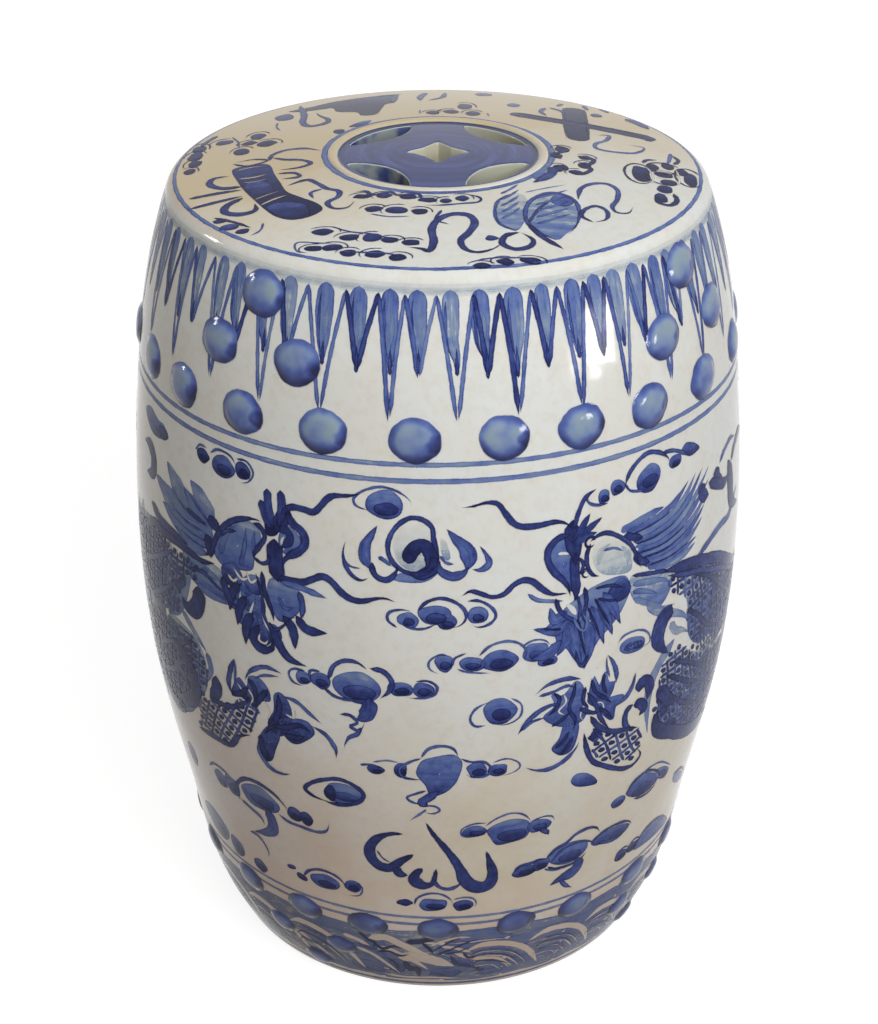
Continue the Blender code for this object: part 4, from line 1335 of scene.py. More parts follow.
def paint_right_beard(d):
    d.wash(0.42, (61, 266), (68, 272), (80, 278), (92, 280), (101, 279), (105, 272), (103, 265), (98, 257),
           (92, 251),
           (86, 246), (81, 238), (77, 231), (71, 238), (66, 246), (61, 246), (60, 254), (54, 259))
    d.blot(97, 271, 8, 7, 0.72)
    for places in (
        ((87, 274), (94, 262), (99, 251)),
        ((84, 271), (90, 258), (94, 246)),
        ((80, 268), (85, 255), (89, 242)),
        ((77, 262), (80, 250), (80, 240), (77, 230)),
        ((70, 262), (71, 248), (76, 232)),
        ((67, 262), (67, 252), (61, 242)),
        ((70, 263), (60, 258), (48, 261)),
        ((67, 268), (60, 264), (57, 272)),
        ((64, 252), (57, 245), (47, 243)),
    ):
        d.line(5.0, 0.66, *places, start=0.25, end=0.5)
    for places in (
        ((82, 272), (88, 260), (93, 251)),
        ((78, 268), (83, 256), (87, 246)),
        ((73, 262), (75, 250), (78, 238)),
        ((64, 258), (58, 259), (52, 261)),
    ):
        d.line(1.5, 1.0, *places)
    d.gap(3.4, (66, 272), (69, 269), (72, 264))
    d.gap(2.2, (73, 273), (74, 268), (75, 264))
    d.gap(1.4, (70, 255), (72, 248), (75, 241))
    d.line(2.2, 0.9, (60, 277), (62, 270), (66, 265), (72, 260), (76, 254))
    d.line(2.2, 0.95, (76, 280), (77.5, 271), (76, 263), (78.5, 256))
    d.line(1.8, 0.85, (72, 276), (74, 267), (72, 259))
    d.line(1.5, 0.2, (70, 264), (73, 257), (76.5, 254), (78, 259), (74.5, 266))
    d.line(1.8, 0.9, (80, 240), (76, 233), (73, 238), (72, 245))
    d.line(1.8, 0.95, (82, 277), (92, 276), (101, 272))
    d.line(1.6, 0.95, (84, 271), (90, 268), (97, 266))


def paint_right_body(d):
    """Scaled coils behind the right head, with a pale belly band and dark curls."""
    upper = [(126, 266), (142, 268), (162, 264), (184, 255), (207, 244), (230, 230), (230, 190), (205, 196),
             (182, 199), (166, 205), (156, 218), (150, 232), (150, 246), (138, 254)]
    lower = [(131, 214), (143, 221), (158, 214), (170, 203), (190, 197), (210, 192), (230, 186), (230, 145),
             (205, 145), (180, 149), (160, 154), (145, 160), (133, 168), (129, 190)]
    d.wash(0.2, (104, 277), (118, 275), (134, 270), (136, 262), (128, 252), (118, 255), (106, 264))
    d.stroke(4.4, 0.3, (106, 272), (117, 270), (128, 267), (136, 262))
    d.stroke(3.6, 0.4, (106, 268), (115, 265), (125, 260))
    d.stroke(4.0, 0.16, (106, 264), (114, 259), (122, 254), (130, 250), (140, 248))
    d.stroke(6.4, 0.24, (116, 259), (122, 252), (131, 246), (140, 242), (148, 237), (154, 229))
    d.stroke(5.6, 0.14, (136, 238), (141, 231), (148, 228), (154, 224))
    d.stroke(7.0, 0.24, (141, 226), (131, 217), (125, 208), (123, 198), (124, 184), (127, 170))
    d.line(2.2, 0.85, (105, 277.5), (116, 275), (128, 272), (137, 268))
    d.wash(0.2, (140, 266), (162, 262), (184, 253), (184, 215), (168, 210), (154, 222), (150, 244))
    d.wash(0.2, (134, 212), (146, 218), (166, 206), (184, 200), (184, 150), (160, 156), (140, 164),
           (132, 188))
    paint_turn(d,
               [(222, 234), (238, 229), (250, 217), (257, 200), (256, 180), (248, 163), (236, 151),
                (222, 144)], -60)
    d.wash(0.26, (180, 254), (205, 244), (232, 230), (232, 188), (208, 197), (188, 202), (178, 226))
    d.wash(0.3, (178, 202), (205, 195), (232, 186), (232, 143), (205, 144), (184, 150), (172, 174))
    paint_scales(d, upper, -38, 7.2)
    paint_scales(d, lower, -34, 7.2)
    for places in (
        ((150, 262), (166, 254), (182, 243), (198, 230), (214, 220)),
        ((150, 240), (163, 230), (176, 218), (192, 210)),
        ((136, 205), (150, 196), (166, 186), (184, 178)),
        ((134, 196), (148, 184), (162, 174), (180, 166)),
        ((140, 212), (156, 204), (172, 194), (190, 186)),
    ):
        d.line(2.8, 0.95, *places)
    d.blot(183, 232, 7, 8, 0.9)
    d.blot(137, 181, 6, 6, 0.92)
    d.blot(135, 191, 5, 5, 0.85)
    d.blot(146, 166, 10, 5.4, 0.95, -20)
    d.line(5.4, 0.88, (128, 272), (137, 270), (147, 268), (158, 265.5), (168, 262), (179, 258), (191, 252),
           (206, 243),
           (224, 234), (240, 229))
    d.line(3.0, 0.8, (131, 268), (146, 263), (160, 259), (174, 253), (190, 246), (206, 238), (222, 230))
    d.line(8.4, 0.9, (138, 243), (131, 244), (127, 238), (126.5, 231), (130, 225), (136, 219), start=0.1,
           end=0.5)
    d.line(5.6, 0.9, (115, 203), (116.5, 209), (121, 208), (123.5, 202), (122, 195))
    d.line(3.2, 0.9, (112, 197), (107.5, 194), (107, 187.5), (110, 182), (116, 179))
    d.line(5.0, 0.92, (112, 196), (117, 195.5), (120.5, 190.5), (117, 187))
    d.line(6.5, 0.95, (130, 199), (137, 192), (143, 185), (149, 181))
    d.line(7.0, 0.95, (130, 183), (133, 173), (141, 165), (151, 160), (163, 153), (177, 147), (192, 143),
           (210, 139),
           (230, 135))
    d.line(3.4, 0.6, (157, 268), (166, 270), (177, 273), (188, 274), (199, 273), (208, 277), (220, 284))
    d.line(8.0, 0.95, (198, 307), (201, 300), (203, 291), (204, 282), (210, 276), (222, 271), start=0.2,
           end=0.5)
    d.line(5.0, 0.9, (170, 306), (180, 301), (190, 297), (200, 298))
    d.line(6.0, 0.9, (162, 309), (163, 302), (170, 299))
    d.line(6.4, 0.92, (180, 311), (181, 303), (190, 297))
    d.line(2.4, 0.6, (184, 311), (192, 315), (203, 317), (214, 314))
    d.line(3.4, 0.8, (204, 303), (213, 309), (226, 311), (240, 308))


def paint_right_leg(d):
    leg = [(82, 194), (95, 186), (110, 182), (122, 178), (124, 165), (118, 157), (108, 159), (95, 165),
           (86, 174)]
    paint_scales(d, leg, -20, 7.4, 0.55)
    d.line(3.0, 0.88, (83, 200), (89, 191), (98, 184.5), (108, 181.5), (119, 179))
    d.line(2.8, 0.9, (80, 190), (83, 178), (88, 168), (96, 162), (105, 156.5), (113, 153), (120, 153),
           (124, 158),
           (119, 165))
    d.wash(0.5, (55, 206), (61, 212), (59, 220), (66, 218), (73, 225), (78, 220), (78, 212), (82, 206),
           (79, 198),
           (71, 196), (62, 199))
    d.wash(0.6, (68, 200), (76, 198), (77, 190), (74, 180), (67, 178), (61, 184), (65, 190))
    d.wash(0.55, (81, 208), (81, 216), (84, 225), (87, 218), (91, 226), (94, 218), (98, 217), (96, 209),
           (90, 203))
    d.wash(0.6, (86, 205), (94, 208), (105, 206), (100, 200), (99, 192), (94, 194))
    for places in (
        ((60, 221), (64, 216), (62, 210), (57, 206)),
        ((73, 225), (72, 217), (70, 208), (74, 200), (73, 192)),
        ((79, 220), (78, 211), (82, 205)),
        ((63, 184), (68, 188), (71, 194)),
        ((67, 179), (71, 184), (74, 190)),
        ((82, 224), (85, 215), (91, 209), (97, 203)),
        ((90, 225), (90, 217), (93, 210)),
        ((86, 204), (92, 200), (98, 193)),
        ((60, 199), (66, 202), (71, 206)),
    ):
        d.line(2.1, 0.98, *places, start=0.15, end=0.3)
    d.blot(88, 186, 4, 5, 0.85)
    d.gap(1.6, (66, 219), (68, 213), (64, 208), (69, 204))
    d.gap(1.6, (79, 219), (80, 211), (77, 202), (80, 197))
    d.gap(1.4, (84, 207), (90, 206), (92, 199))
    d.line(2.6, 0.72, (50, 221), (57, 226), (67, 227.5), (77, 225), start=0.5)
    d.line(1.8, 0.6, (52, 220), (60, 221), (68, 223), (74, 220))
    d.line(2.6, 0.75, (41.5, 197), (46, 204.5), (53, 210.5), (60, 213), (66, 212), start=0.35)
    d.line(1.8, 0.66, (43, 199.5), (49, 204.5), (57, 206))
    d.line(2.6, 0.66, (46.5, 175.5), (53, 172), (61, 171), (69, 174), (75, 179.5), (78, 185), start=0.4)
    d.line(2.6, 0.7, (91, 236), (95, 230), (98, 222), (98, 215), start=0.5)
    d.line(1.6, 0.55, (91, 236), (91.5, 228), (94, 220), start=0.5)
    d.line(2.8, 0.66, (111.5, 218), (110, 210), (106, 204), (99, 200), start=0.4)
    d.line(2.4, 0.88, (80, 216), (86, 206), (90, 196), (97, 186))
    d.line(2.4, 0.88, (76, 207), (83, 202), (91, 200))


def paint_left_head(d):
    """Head of the left dragon: feathery mane, streaked crest, dark spikes and snout."""
    d.wash(0.34, (-128, 285), (-129, 299), (-140, 308), (-154, 310), (-166, 304), (-166, 294), (-155, 286),
           (-141, 282))
    for width, load, *places in (
        (11.0, 0.26, (-126, 300), (-136, 309), (-147, 317)),
        (8.0, 0.4, (-131, 298), (-144, 304), (-153, 311)),
        (13.0, 0.24, (-138, 296), (-156, 306), (-171, 318)),
        (14.0, 0.28, (-134, 291), (-158, 295), (-185, 305)),
        (11.0, 0.34, (-131, 285), (-153, 287), (-176, 293)),
        (7.0, 0.42, (-131, 280), (-148, 281), (-162, 285)),
    ):
        d.stroke(width, load, *places, start=0.2, end=0.35)
    for places in (
        ((-130, 299), (-143, 306), (-152, 314)), ((-135, 296), (-152, 299), (-168, 309)),
        ((-134, 292), (-154, 293), (-172, 299)), ((-132, 287), (-150, 288), (-168, 291)),
        ((-132, 283), (-148, 284), (-160, 287)),
    ):
        d.line(1.2, 0.6, *places, end=0.6)
    d.line(5.4, 1.0, (-132, 300), (-127, 300), (-123, 296), start=0.2)
    d.line(5.4, 1.0, (-133, 292), (-130, 286), (-129, 279), start=0.2)
    d.line(2.2, 0.95, (-150, 300), (-140, 298), (-131, 296))
    d.wash(0.36, (-127, 284), (-122, 296), (-114, 305), (-104, 309), (-96, 307), (-94, 298), (-98, 290),
           (-100, 282),
           (-110, 279), (-121, 278))
    d.stroke(4.6, 0.46, (-122, 284), (-118, 296), (-110, 305))
    d.stroke(3.6, 0.5, (-108, 282), (-105, 294), (-104, 306))
    d.stroke(3.0, 0.5, (-99, 291), (-99, 300), (-98, 306))
    d.line(3.0, 0.96, (-134, 279), (-129, 283), (-125, 292), (-120, 300), (-112, 306.5), (-105, 309.5),
           (-99, 311),
           (-93, 311))
    d.line(2.2, 0.9, (-122, 295), (-117, 299), (-110, 301))
    d.line(2.6, 0.96, (-100, 309), (-95, 308), (-92, 303), (-96, 296), (-99, 291), (-96, 288))
    d.line(2.0, 0.92, (-99, 290), (-94, 288), (-90, 290), (-89, 295))
    d.blot(-88, 310, 5, 6, 0.98)
    d.line(7.4, 1.0, (-86, 304), (-86, 296), (-85, 288), (-84, 280), start=0.2, end=0.2)
    d.line(3.8, 0.9, (-95, 323), (-92, 315), (-88, 308))
    d.line(4.0, 0.85, (-91, 330), (-90, 320), (-87, 309))
    d.line(4.0, 0.85, (-83, 331), (-82, 321), (-84, 310))
    d.line(6.6, 1.0, (-78, 322), (-82, 315), (-86, 307))
    d.wash(0.42, (-80, 313), (-73, 310), (-70, 304), (-77, 297), (-83, 298), (-84, 306))
    d.line(3.8, 0.9, (-79, 321), (-76, 315), (-70, 311), (-68.5, 305), (-72, 300), (-79, 295), (-82, 288))
    d.line(3.6, 0.95, (-84, 309), (-79, 310), (-77, 305), (-83, 299))
    d.gap(1.8, (-80, 307), (-82, 303), (-80, 298))
    d.line(3.0, 0.92, (-82, 318), (-77, 323), (-70, 323.5), (-64, 323), (-60, 327), (-57, 331),
           (-53, 333.5),
           (-46, 334.5), (-38, 336.5), start=0.02, end=0.35)
    d.line(3.2, 0.92, (-84, 282), (-78, 283), (-70, 283.5), (-65, 286), (-59, 289), (-54, 287), (-49, 282),
           (-44, 279), (-38, 278.5), (-30, 281), (-25, 281), (-20, 279), start=0.02, end=0.35)


def paint_left_beard(d):
    d.wash(0.4, (-89, 281), (-80, 282), (-72, 279), (-70, 270), (-75, 262), (-83, 257), (-88, 262),
           (-91, 272))
    for u, z, wide, high, load in (
        (-114, 275, 8, 7, 0.7), (-106, 268, 9, 9, 0.55), (-99, 259, 8, 10, 0.6), (-95, 248, 7.4, 8, 0.66),
        (-110, 262, 8, 7, 0.5), (-99, 274, 7, 6, 0.5), (-104, 252, 7, 6, 0.55), (-87, 249, 5, 6, 0.66),
    ):
        d.blot(u, z, wide, high, load)
    for places in (
        ((-108, 272), (-114, 264), (-116, 253)),
        ((-104, 266), (-109, 257), (-111, 246)),
        ((-100, 258), (-105, 248), (-106, 236)),
        ((-96, 252), (-101, 243), (-96, 237.5), (-89, 240), (-88, 247)),
        ((-90, 256), (-85, 245), (-79, 237), (-68, 234.5)),
        ((-82, 262), (-76, 255), (-75, 243)),
        ((-74, 264), (-68, 257), (-56, 257)),
        ((-121, 272), (-117, 262), (-111, 257)),
    ):
        d.line(4.4, 0.95, *places, start=0.2, end=0.4)
    for places in (
        ((-113, 280), (-107, 275), (-101, 278)),
        ((-104, 281), (-101, 275), (-96, 279)),
        ((-99, 265), (-102, 257), (-104, 250)),
        ((-108, 268), (-109, 260), (-111, 254)),
        ((-96, 247), (-97, 242.5), (-93, 241.5), (-91, 245)),
        ((-78, 257), (-78, 252), (-77, 247)),
        ((-94, 262), (-93, 255), (-90, 249)),
        ((-117, 275), (-113, 272), (-109, 275)),
    ):
        d.gap(1.9, *places)
    d.line(2.6, 0.98, (-94, 284), (-92, 272), (-88, 262), (-87, 256))
    d.line(1.9, 0.9, (-98, 282), (-94, 270), (-93, 258), (-88, 251.5), (-82, 255), (-77, 261), (-72, 263))
    d.line(3.0, 0.75, (-72, 278), (-70, 270), (-71, 262))
    d.line(3.0, 0.5, (-83, 281), (-70, 280), (-56, 277))
    d.line(1.8, 0.55, (-84, 272), (-80, 266), (-75, 268))


def paint_left_body(d):
    """Scaled coils of the left dragon, closed by a turn at the side."""
    upper = [(-130, 270), (-145, 272), (-165, 273), (-190, 278), (-210, 268), (-210, 226), (-190, 224),
             (-172, 226),
             (-158, 234), (-160, 246), (-146, 260)]
    lower = [(-136, 214), (-150, 226), (-175, 224), (-205, 218), (-208, 190), (-198, 165), (-176, 160),
             (-162, 172),
             (-152, 182), (-142, 192)]
    d.wash(0.3, (-154, 274), (-138, 275), (-124, 276), (-117, 268), (-112, 258), (-125, 255), (-138, 257),
           (-150, 262))
    d.wash(0.2, (-146, 266), (-160, 270), (-176, 272), (-178, 232), (-166, 228), (-154, 240))
    d.wash(0.24, (-140, 216), (-152, 226), (-178, 222), (-180, 166), (-164, 166), (-150, 182), (-140, 196))
    for width, load, *places in (
        (6.0, 0.3, (-150, 274), (-136, 271), (-121, 268)),
        (5.4, 0.22, (-148, 268), (-134, 265), (-120, 264)),
        (5.0, 0.36, (-142, 259), (-130, 257), (-114, 257)),
        (5.0, 0.24, (-158, 236), (-148, 228), (-136, 218)),
        (5.0, 0.3, (-137, 219), (-135, 209), (-140, 198)),
    ):
        d.stroke(width, load, *places)
    paint_turn(d,
               [(-206, 272), (-222, 264), (-234, 250), (-241, 230), (-240, 206), (-232, 184), (-220, 168),
                   (-206, 158)], 60)
    d.wash(0.28, (-172, 272), (-205, 274), (-222, 262), (-220, 214), (-196, 218), (-178, 232))
    d.wash(0.3, (-160, 218), (-196, 220), (-222, 210), (-215, 170), (-186, 156), (-164, 172))
    paint_scales(d, upper, 36, 7.4)
    paint_scales(d, lower, 36, 7.4)
    for places in (
        ((-204, 246), (-188, 254), (-172, 264), (-158, 272)),
        ((-200, 226), (-182, 236), (-166, 248), (-152, 258)),
        ((-196, 196), (-178, 206), (-160, 214), (-146, 222)),
        ((-196, 180), (-178, 188), (-164, 200), (-148, 210)),
    ):
        d.line(2.6, 0.8, *places)
    d.line(2.6, 0.92, (-150, 277), (-138, 274.5), (-126, 277))
    d.line(2.2, 0.85, (-148, 266), (-135, 268), (-120, 262))
    d.line(4.0, 0.95, (-205, 265), (-188, 275), (-172, 275), (-155, 276), (-138, 275), (-125, 277))
    d.line(4.4, 0.92, (-192, 286), (-180, 281), (-168, 280), (-148, 279))
    d.line(8.4, 0.98, (-141, 258), (-140.5, 250), (-145, 242), (-153, 240.5), (-157, 245), start=0.15,
           end=0.4)
    d.line(4.0, 0.85, (-152, 257), (-160, 250), (-166, 252))
    d.line(6.4, 0.94, (-131, 207), (-132, 197), (-139, 188), start=0.2)
    d.line(8.0, 0.98, (-172, 210), (-162, 206), (-154, 197), (-153, 187), (-159, 178), (-170, 172),
           (-182, 170))
    d.line(5.0, 0.9, (-176, 196), (-166, 192), (-160, 186))
    d.blot(-188, 224, 10, 9, 0.92)
    d.blot(-190, 200, 7, 5, 0.8)
    d.line(6.0, 0.9, (-205, 316), (-196, 317), (-189, 312), (-190, 303), (-200, 300), start=0.3)


def paint_left_leg(d):
    leg = [(-157, 162), (-140, 160), (-126, 161), (-118, 172), (-106, 180), (-98, 198), (-106, 206),
           (-120, 196),
           (-134, 190), (-150, 184)]
    paint_scales(d, leg, 20, 7.4, 0.55)
    d.line(3.0, 0.92, (-158, 160), (-144, 161), (-127, 163), (-118, 173), (-108, 178))
    d.line(3.0, 0.92, (-140, 189), (-125, 190), (-113, 196), (-106, 204))
    d.wash(0.74, (-103, 163), (-105, 172), (-102, 181), (-95, 190), (-88, 192), (-88, 184), (-92, 174),
           (-96, 165))
    d.wash(0.74, (-96, 190), (-91, 201), (-90, 211), (-85, 214), (-80, 208), (-79, 199), (-82, 190),
           (-89, 184))
    d.wash(0.7, (-88, 196), (-78, 200), (-70, 200), (-66, 194), (-70, 188), (-79, 182), (-86, 186))
    d.wash(0.62, (-120, 199), (-118, 207), (-113, 214), (-108, 210), (-106, 217), (-99, 219), (-93, 214),
           (-92, 206),
           (-99, 203), (-103, 196), (-110, 201))
    for places in (
        ((-87, 213), (-87, 203), (-91, 193), (-99, 182)),
        ((-102, 181), (-101, 172), (-98, 165)),
        ((-94, 190), (-84, 192), (-75, 196), (-68, 193)),
        ((-86, 187), (-78, 187), (-72, 190)),
        ((-106, 216), (-102, 210), (-103, 202)),
        ((-119, 201), (-112, 204), (-106, 210)),
        ((-93, 213), (-98, 207), (-103, 198)),
    ):
        d.line(3.0, 1.0, *places, start=0.15, end=0.3)
    for places in (
        ((-108, 210), (-104, 204), (-107, 198)),
        ((-97, 206), (-93, 199), (-96, 192)),
        ((-84, 201), (-78, 200), (-77, 206)),
        ((-115, 210), (-111, 205), (-114, 201)),
    ):
        d.gap(1.7, *places)
    for width, load, *places in (
        (3.0, 0.8, (-115, 225), (-119, 215), (-121, 206), (-118, 199)),
        (1.7, 0.6, (-115, 225), (-115, 216), (-117, 207)),
        (2.4, 0.66, (-83, 226), (-94, 227), (-104, 221), (-109, 213)),
        (1.6, 0.5, (-85, 224), (-96, 221), (-103, 216)),
        (2.2, 0.6, (-86, 212), (-76, 211), (-68, 205), (-61, 200)),
        (2.4, 0.66, (-68, 198), (-60, 194), (-55, 186), (-55, 179)),
        (2.6, 0.6, (-103, 178), (-104, 168), (-98, 160), (-90, 158.5), (-84, 160.5)),
    ):
        d.line(width, load, *places, start=0.3, end=0.35)


def paint_turn(d, outline, way):
    """Where a dragon's body turns back on itself at the side: scales, an edge line and fins."""
    d.wash(0.28, *outline)
    paint_scales(d, outline, way, 7.4)
    edge = outline[1:-1]
    d.line(3.4, 0.95, *edge)
    middle = np.mean(outline, axis=0)
    for (u0, z0), (u1, z1) in zip(edge, edge[1:]):
        for share in (0.2, 0.7):
            u, z = u0 + (u1 - u0) * share, z0 + (z1 - z0) * share
            tip = (u + 0.2 * (u - middle[0]), z + 0.2 * (z - middle[1]) + 4.0)
            d.line(3.6, 0.8, (u, z), ((u + tip[0]) / 2, (z + tip[1]) / 2 - 1.0), tip, start=0.05, end=0.6)


def paint_side_clouds(d):
    """Clouds between the dragons' backs, at the sides of the stool."""
    for u, z in ((262, 118), (268, 306), (-262, 338)):
        d.puff(u, z, 10, 7)
        d.puff(u - 13, z - 1, 5, 4.4)
        d.puff(u + 13, z - 1, 5, 4.4)
        d.line(1.8, 0.75, (u - 15, z + 4), (u - 8, z + 9.5), (u, z + 11), (u + 8, z + 9), (u + 14, z + 4))
        d.line(1.4, 0.6, (u - 17, z - 7), (u - 6, z - 10), (u + 6, z - 9.5), (u + 18, z - 6))
    d.line(6.0, 0.8, (262, 110), (265, 103), (261, 97), (253, 94), start=0.2, end=0.5)
    d.line(3.4, 0.8, (-256, 326), (-250, 318), (-252, 309), (-260, 304), start=0.2, end=0.5)


def paint_dragons(d):
    paint_right_body(d)
    paint_right_head(d)
    paint_right_beard(d)
    paint_right_leg(d)
    paint_left_body(d)
    paint_left_head(d)
    paint_left_beard(d)
    paint_left_leg(d)


# Painting: bands, fringe and waves

def round_the_wall(z, sway, phase, points=24):
    """Places of a line drawn freehand right round the wall."""
    places = []
    for k in range(points + 2):
        turn = math.tau * k / points - math.pi
        places.append((turn * BELLY_RADIUS, z + sway * math.sin(2 * turn + phase)))
    return places


def paint_bands(layer):
    for z, width, load, sway in (
        (436.8, 6.4, -0.08, 0.2),
        (436.2, 3.6, 0.02, 0.3),
        (352.6, 3.0, 0.3, 1.0),
        (345.0, 3.2, 0.33, 0.5),
        (67.4, 2.4, 0.24, 0.6),
        (61.8, 2.6, 0.24, 0.6),
        (5.4, 2.8, 0.36, 0.4),
    ):
        layer.line(round_the_wall(z, sway, z), width, load, 0.0, 0.0, step=4.0)


FRINGE_TIPS = (-187, -170, -155, -134, -118, -98, -83, -62, -43, -25, -10, 10, 26, 42, 59, 77, 92, 106, 121,
               138,
               152, 170, 185, 200)


def fringe_tips():
    """Tips of the fringe as seen on the front, and at even spacing round the back."""
    around = math.tau * BELLY_RADIUS
    rest = 38
    gap = (around - (FRINGE_TIPS[-1] - FRINGE_TIPS[0])) / (rest + 1)
    return list(FRINGE_TIPS) + [FRINGE_TIPS[-1] + gap * (k + 1) for k in range(rest)]


def paint_fringe(fill, ink):
    """Blue petals that hang under the shoulder, with a long and short zigzag over them."""
    chance = random.Random(41)
    tips = fringe_tips()
    around = math.tau * BELLY_RADIUS
    for k, tip in enumerate(tips):
        after = tips[k + 1] if k + 1 < len(tips) else tips[0] + around
        long_tip = k % 2 == 1
        low = (375 if long_tip else 397) + chance.uniform(-2, 2)
        top = tip + chance.uniform(-3, 1) - 1
        width = chance.uniform(9.4, 11.8)
        foot = 398 + chance.uniform(-3, 3)
        load = chance.uniform(0.2, 0.42)
        fill.line([(top, 437, 0.86 * width), (top, 432, 0.98 * width), (top, 424, width),
                   (top + 0.5, 414, 0.8 * width),
                   (tip - 0.3, 405, 0.46 * width), (tip, foot, 2.6)], width, load, 0.0, 0.08)
        fill.line([(top + 1.6, 427), (top + 1.8, 419), (top + 1.2, 409)], 3.8, load - 0.3, 0.4, 0.5)
        fill.line([(top - 2.4, 434), (top - 3, 426), (top - 2, 412), (tip - 0.6, 402)], 2.2, load + 0.25,
                  0.3, 0.4)
        ink.line([(tip - 0.2, 411), (tip, foot - 1)], 2.8, 0.72, 0.6, 0.1)
        crest = (tip + after) / 2 + chance.uniform(-1.5, 1.5)
        next_low = (397 if long_tip else 375) + chance.uniform(-2, 2)
        for foot_u, foot_z, lean in ((tip + 0.4, low, -0.7), (after - 0.4, next_low, 0.7)):
            dark = chance.choice((0.3, 0.42, 0.55, 0.75))
            middle = ((crest + foot_u) / 2 + lean, (435 + foot_z) / 2)
            ink.line([(crest, 435), middle, (foot_u, foot_z)], 2.1 + 1.8 * dark, dark, 0.06, 0.12)


WAVE_COUNT = 24
SPRAY_WAVES = (22, 23)


def paint_waves(fill, ink, bare):
    """The bottom band: a streaky wash with reserved rounded waves over it."""
    chance = random.Random(17)
    gap = math.tau * BELLY_RADIUS / WAVE_COUNT
    for z in (50, 41, 32, 23, 14):
        for k in range(WAVE_COUNT):
            places = [(gap * (k + 0.4 * n), z + chance.uniform(-1.5, 1.5)) for n in range(4)]
            fill.line(places, 10.5, chance.uniform(0.16, 0.46), 0.1, 0.15)
    for k in range(WAVE_COUNT):
        if k in SPRAY_WAVES:
            continue
        u = 20.0 + gap * k + chance.uniform(-2, 2)
        for depth, width in ((0.0, 5.0), (6.5, 1.4), (11.0, 1.6), (16.0, 1.3), (21.0, 1.2)):
            z = -depth + chance.uniform(-1, 1)
            span = 1.0 - 0.022 * depth
            bare.line([(u - 2 + depth * 0.3, 37 + z), (u + 10 * span, 42.5 + z),
                       (u + 25 * span, 41.5 + z * 0.9),
                       (u + 38 * span, 36 + z * 0.7), (u + 48 * span, 27 + z * 0.5), (u + 57 * span, 13)],
                      width, 0.0, 0.2, 0.2)
        for depth in (4.0, 8.0, 14.0):
            z = -depth + chance.uniform(-0.6, 0.6)
            span = 1.0 - 0.022 * depth
            ink.line([(u + depth * 0.3, 36 + z), (u + 12 * span, 41 + z), (u + 27 * span, 39 + z * 0.9),
                      (u + 39 * span, 33 + z * 0.7), (u + 50 * span, 19)],
                     chance.uniform(1.2, 3.0), chance.uniform(0.4, 0.75), 0.25, 0.4)


def paint_spray(fill, ink, bare):
    """Foam and dark spray strokes where the waves meet at the front."""
    strokes(bare, (
        (6.0, 0.0, (-48, 45), (-36, 48), (-26, 44), (-16, 39), (-4, 34)),
        (3.4, 0.0, (-58, 35), (-46, 31), (-36, 23), (-27, 14)),
        (9.0, 0.0, (-28, 31), (-14, 33), (0, 29), (12, 24)),
        (4.0, 0.0, (10, 37), (25, 31), (42, 27), (56, 16)),
        (2.4, 0.0, (-6, 43), (2, 47), (12, 50), (24, 50)),
        (3.0, 0.0, (-110, 33), (-97, 28), (-86, 21), (-77, 14)),
        (2.6, 0.0, (-42, 12), (-24, 11), (-2, 12), (20, 10)),
        (4.6, 0.0, (-40, 40), (-30, 36), (-18, 30), (-6, 20)),
        (3.6, 0.0, (-66, 44), (-56, 42), (-46, 38)),
        (3.0, 0.0, (2, 43), (12, 41), (24, 36)),
    ))
    strokes(ink, (
        (3.0, 0.92, (-54, 50), (-48, 44), (-43, 42), (-45, 37)),
        (2.6, 0.9, (-45, 43), (-38, 38), (-30, 41), (-24, 39)),
        (2.4, 0.85, (-42, 34), (-34, 36), (-26, 33), (-18, 36)),
        (4.6, 0.98, (-22, 46), (-12, 47), (-4, 50), (4, 53)),
        (3.0, 0.95, (-11, 46), (-6, 41), (-3, 36)),
        (1.8, 0.7, (-4, 38), (2, 43), (10, 48), (18, 51)),
        (2.0, 0.75, (-2, 35), (8, 40), (18, 45), (28, 48)),
        (1.8, 0.65, (4, 36), (14, 38), (22, 42)),
        (5.6, 1.0, (-23, 29), (-21, 21), (-15, 21), (-14, 12)),
        (2.4, 0.8, (-36, 30), (-30, 25), (-28, 18)),
        (3.4, 0.8, (8, 35), (13, 27), (22, 23), (30, 20)),
        (2.8, 0.9, (17, 37), (21, 32), (28, 33)),
        (3.0, 0.9, (27, 22), (30, 18), (34, 19)),
        (1.8, 0.6, (-8, 13), (-2, 17), (6, 13)),
    ))
    blots(fill, ((6, 17, 12, 5, 0.55), (-29, 22, 7, 7, 0.6), (17, 28, 8, 5, 0.5), (38, 15, 10, 3.4, 0.5),
                 (-52, 18, 14, 6, 0.55), (-48, 39, 7, 4, 0.5), (-88, 40, 12, 5, 0.45)))


# Painting: the seat

def paint_seat_rings(layer):
    for radius, width, load in ((59.6, 3.8, 0.36), (137.6, 2.5, 0.34)):
        places = []
        for k in range(26):
            turn = math.tau * k / 24
            loose = radius + 0.25 * math.sin(3 * turn + radius)
            places.append((loose * math.sin(turn), -loose * math.cos(turn)))
        layer.line(places, width, load, 0.0, 0.0, step=2.5)


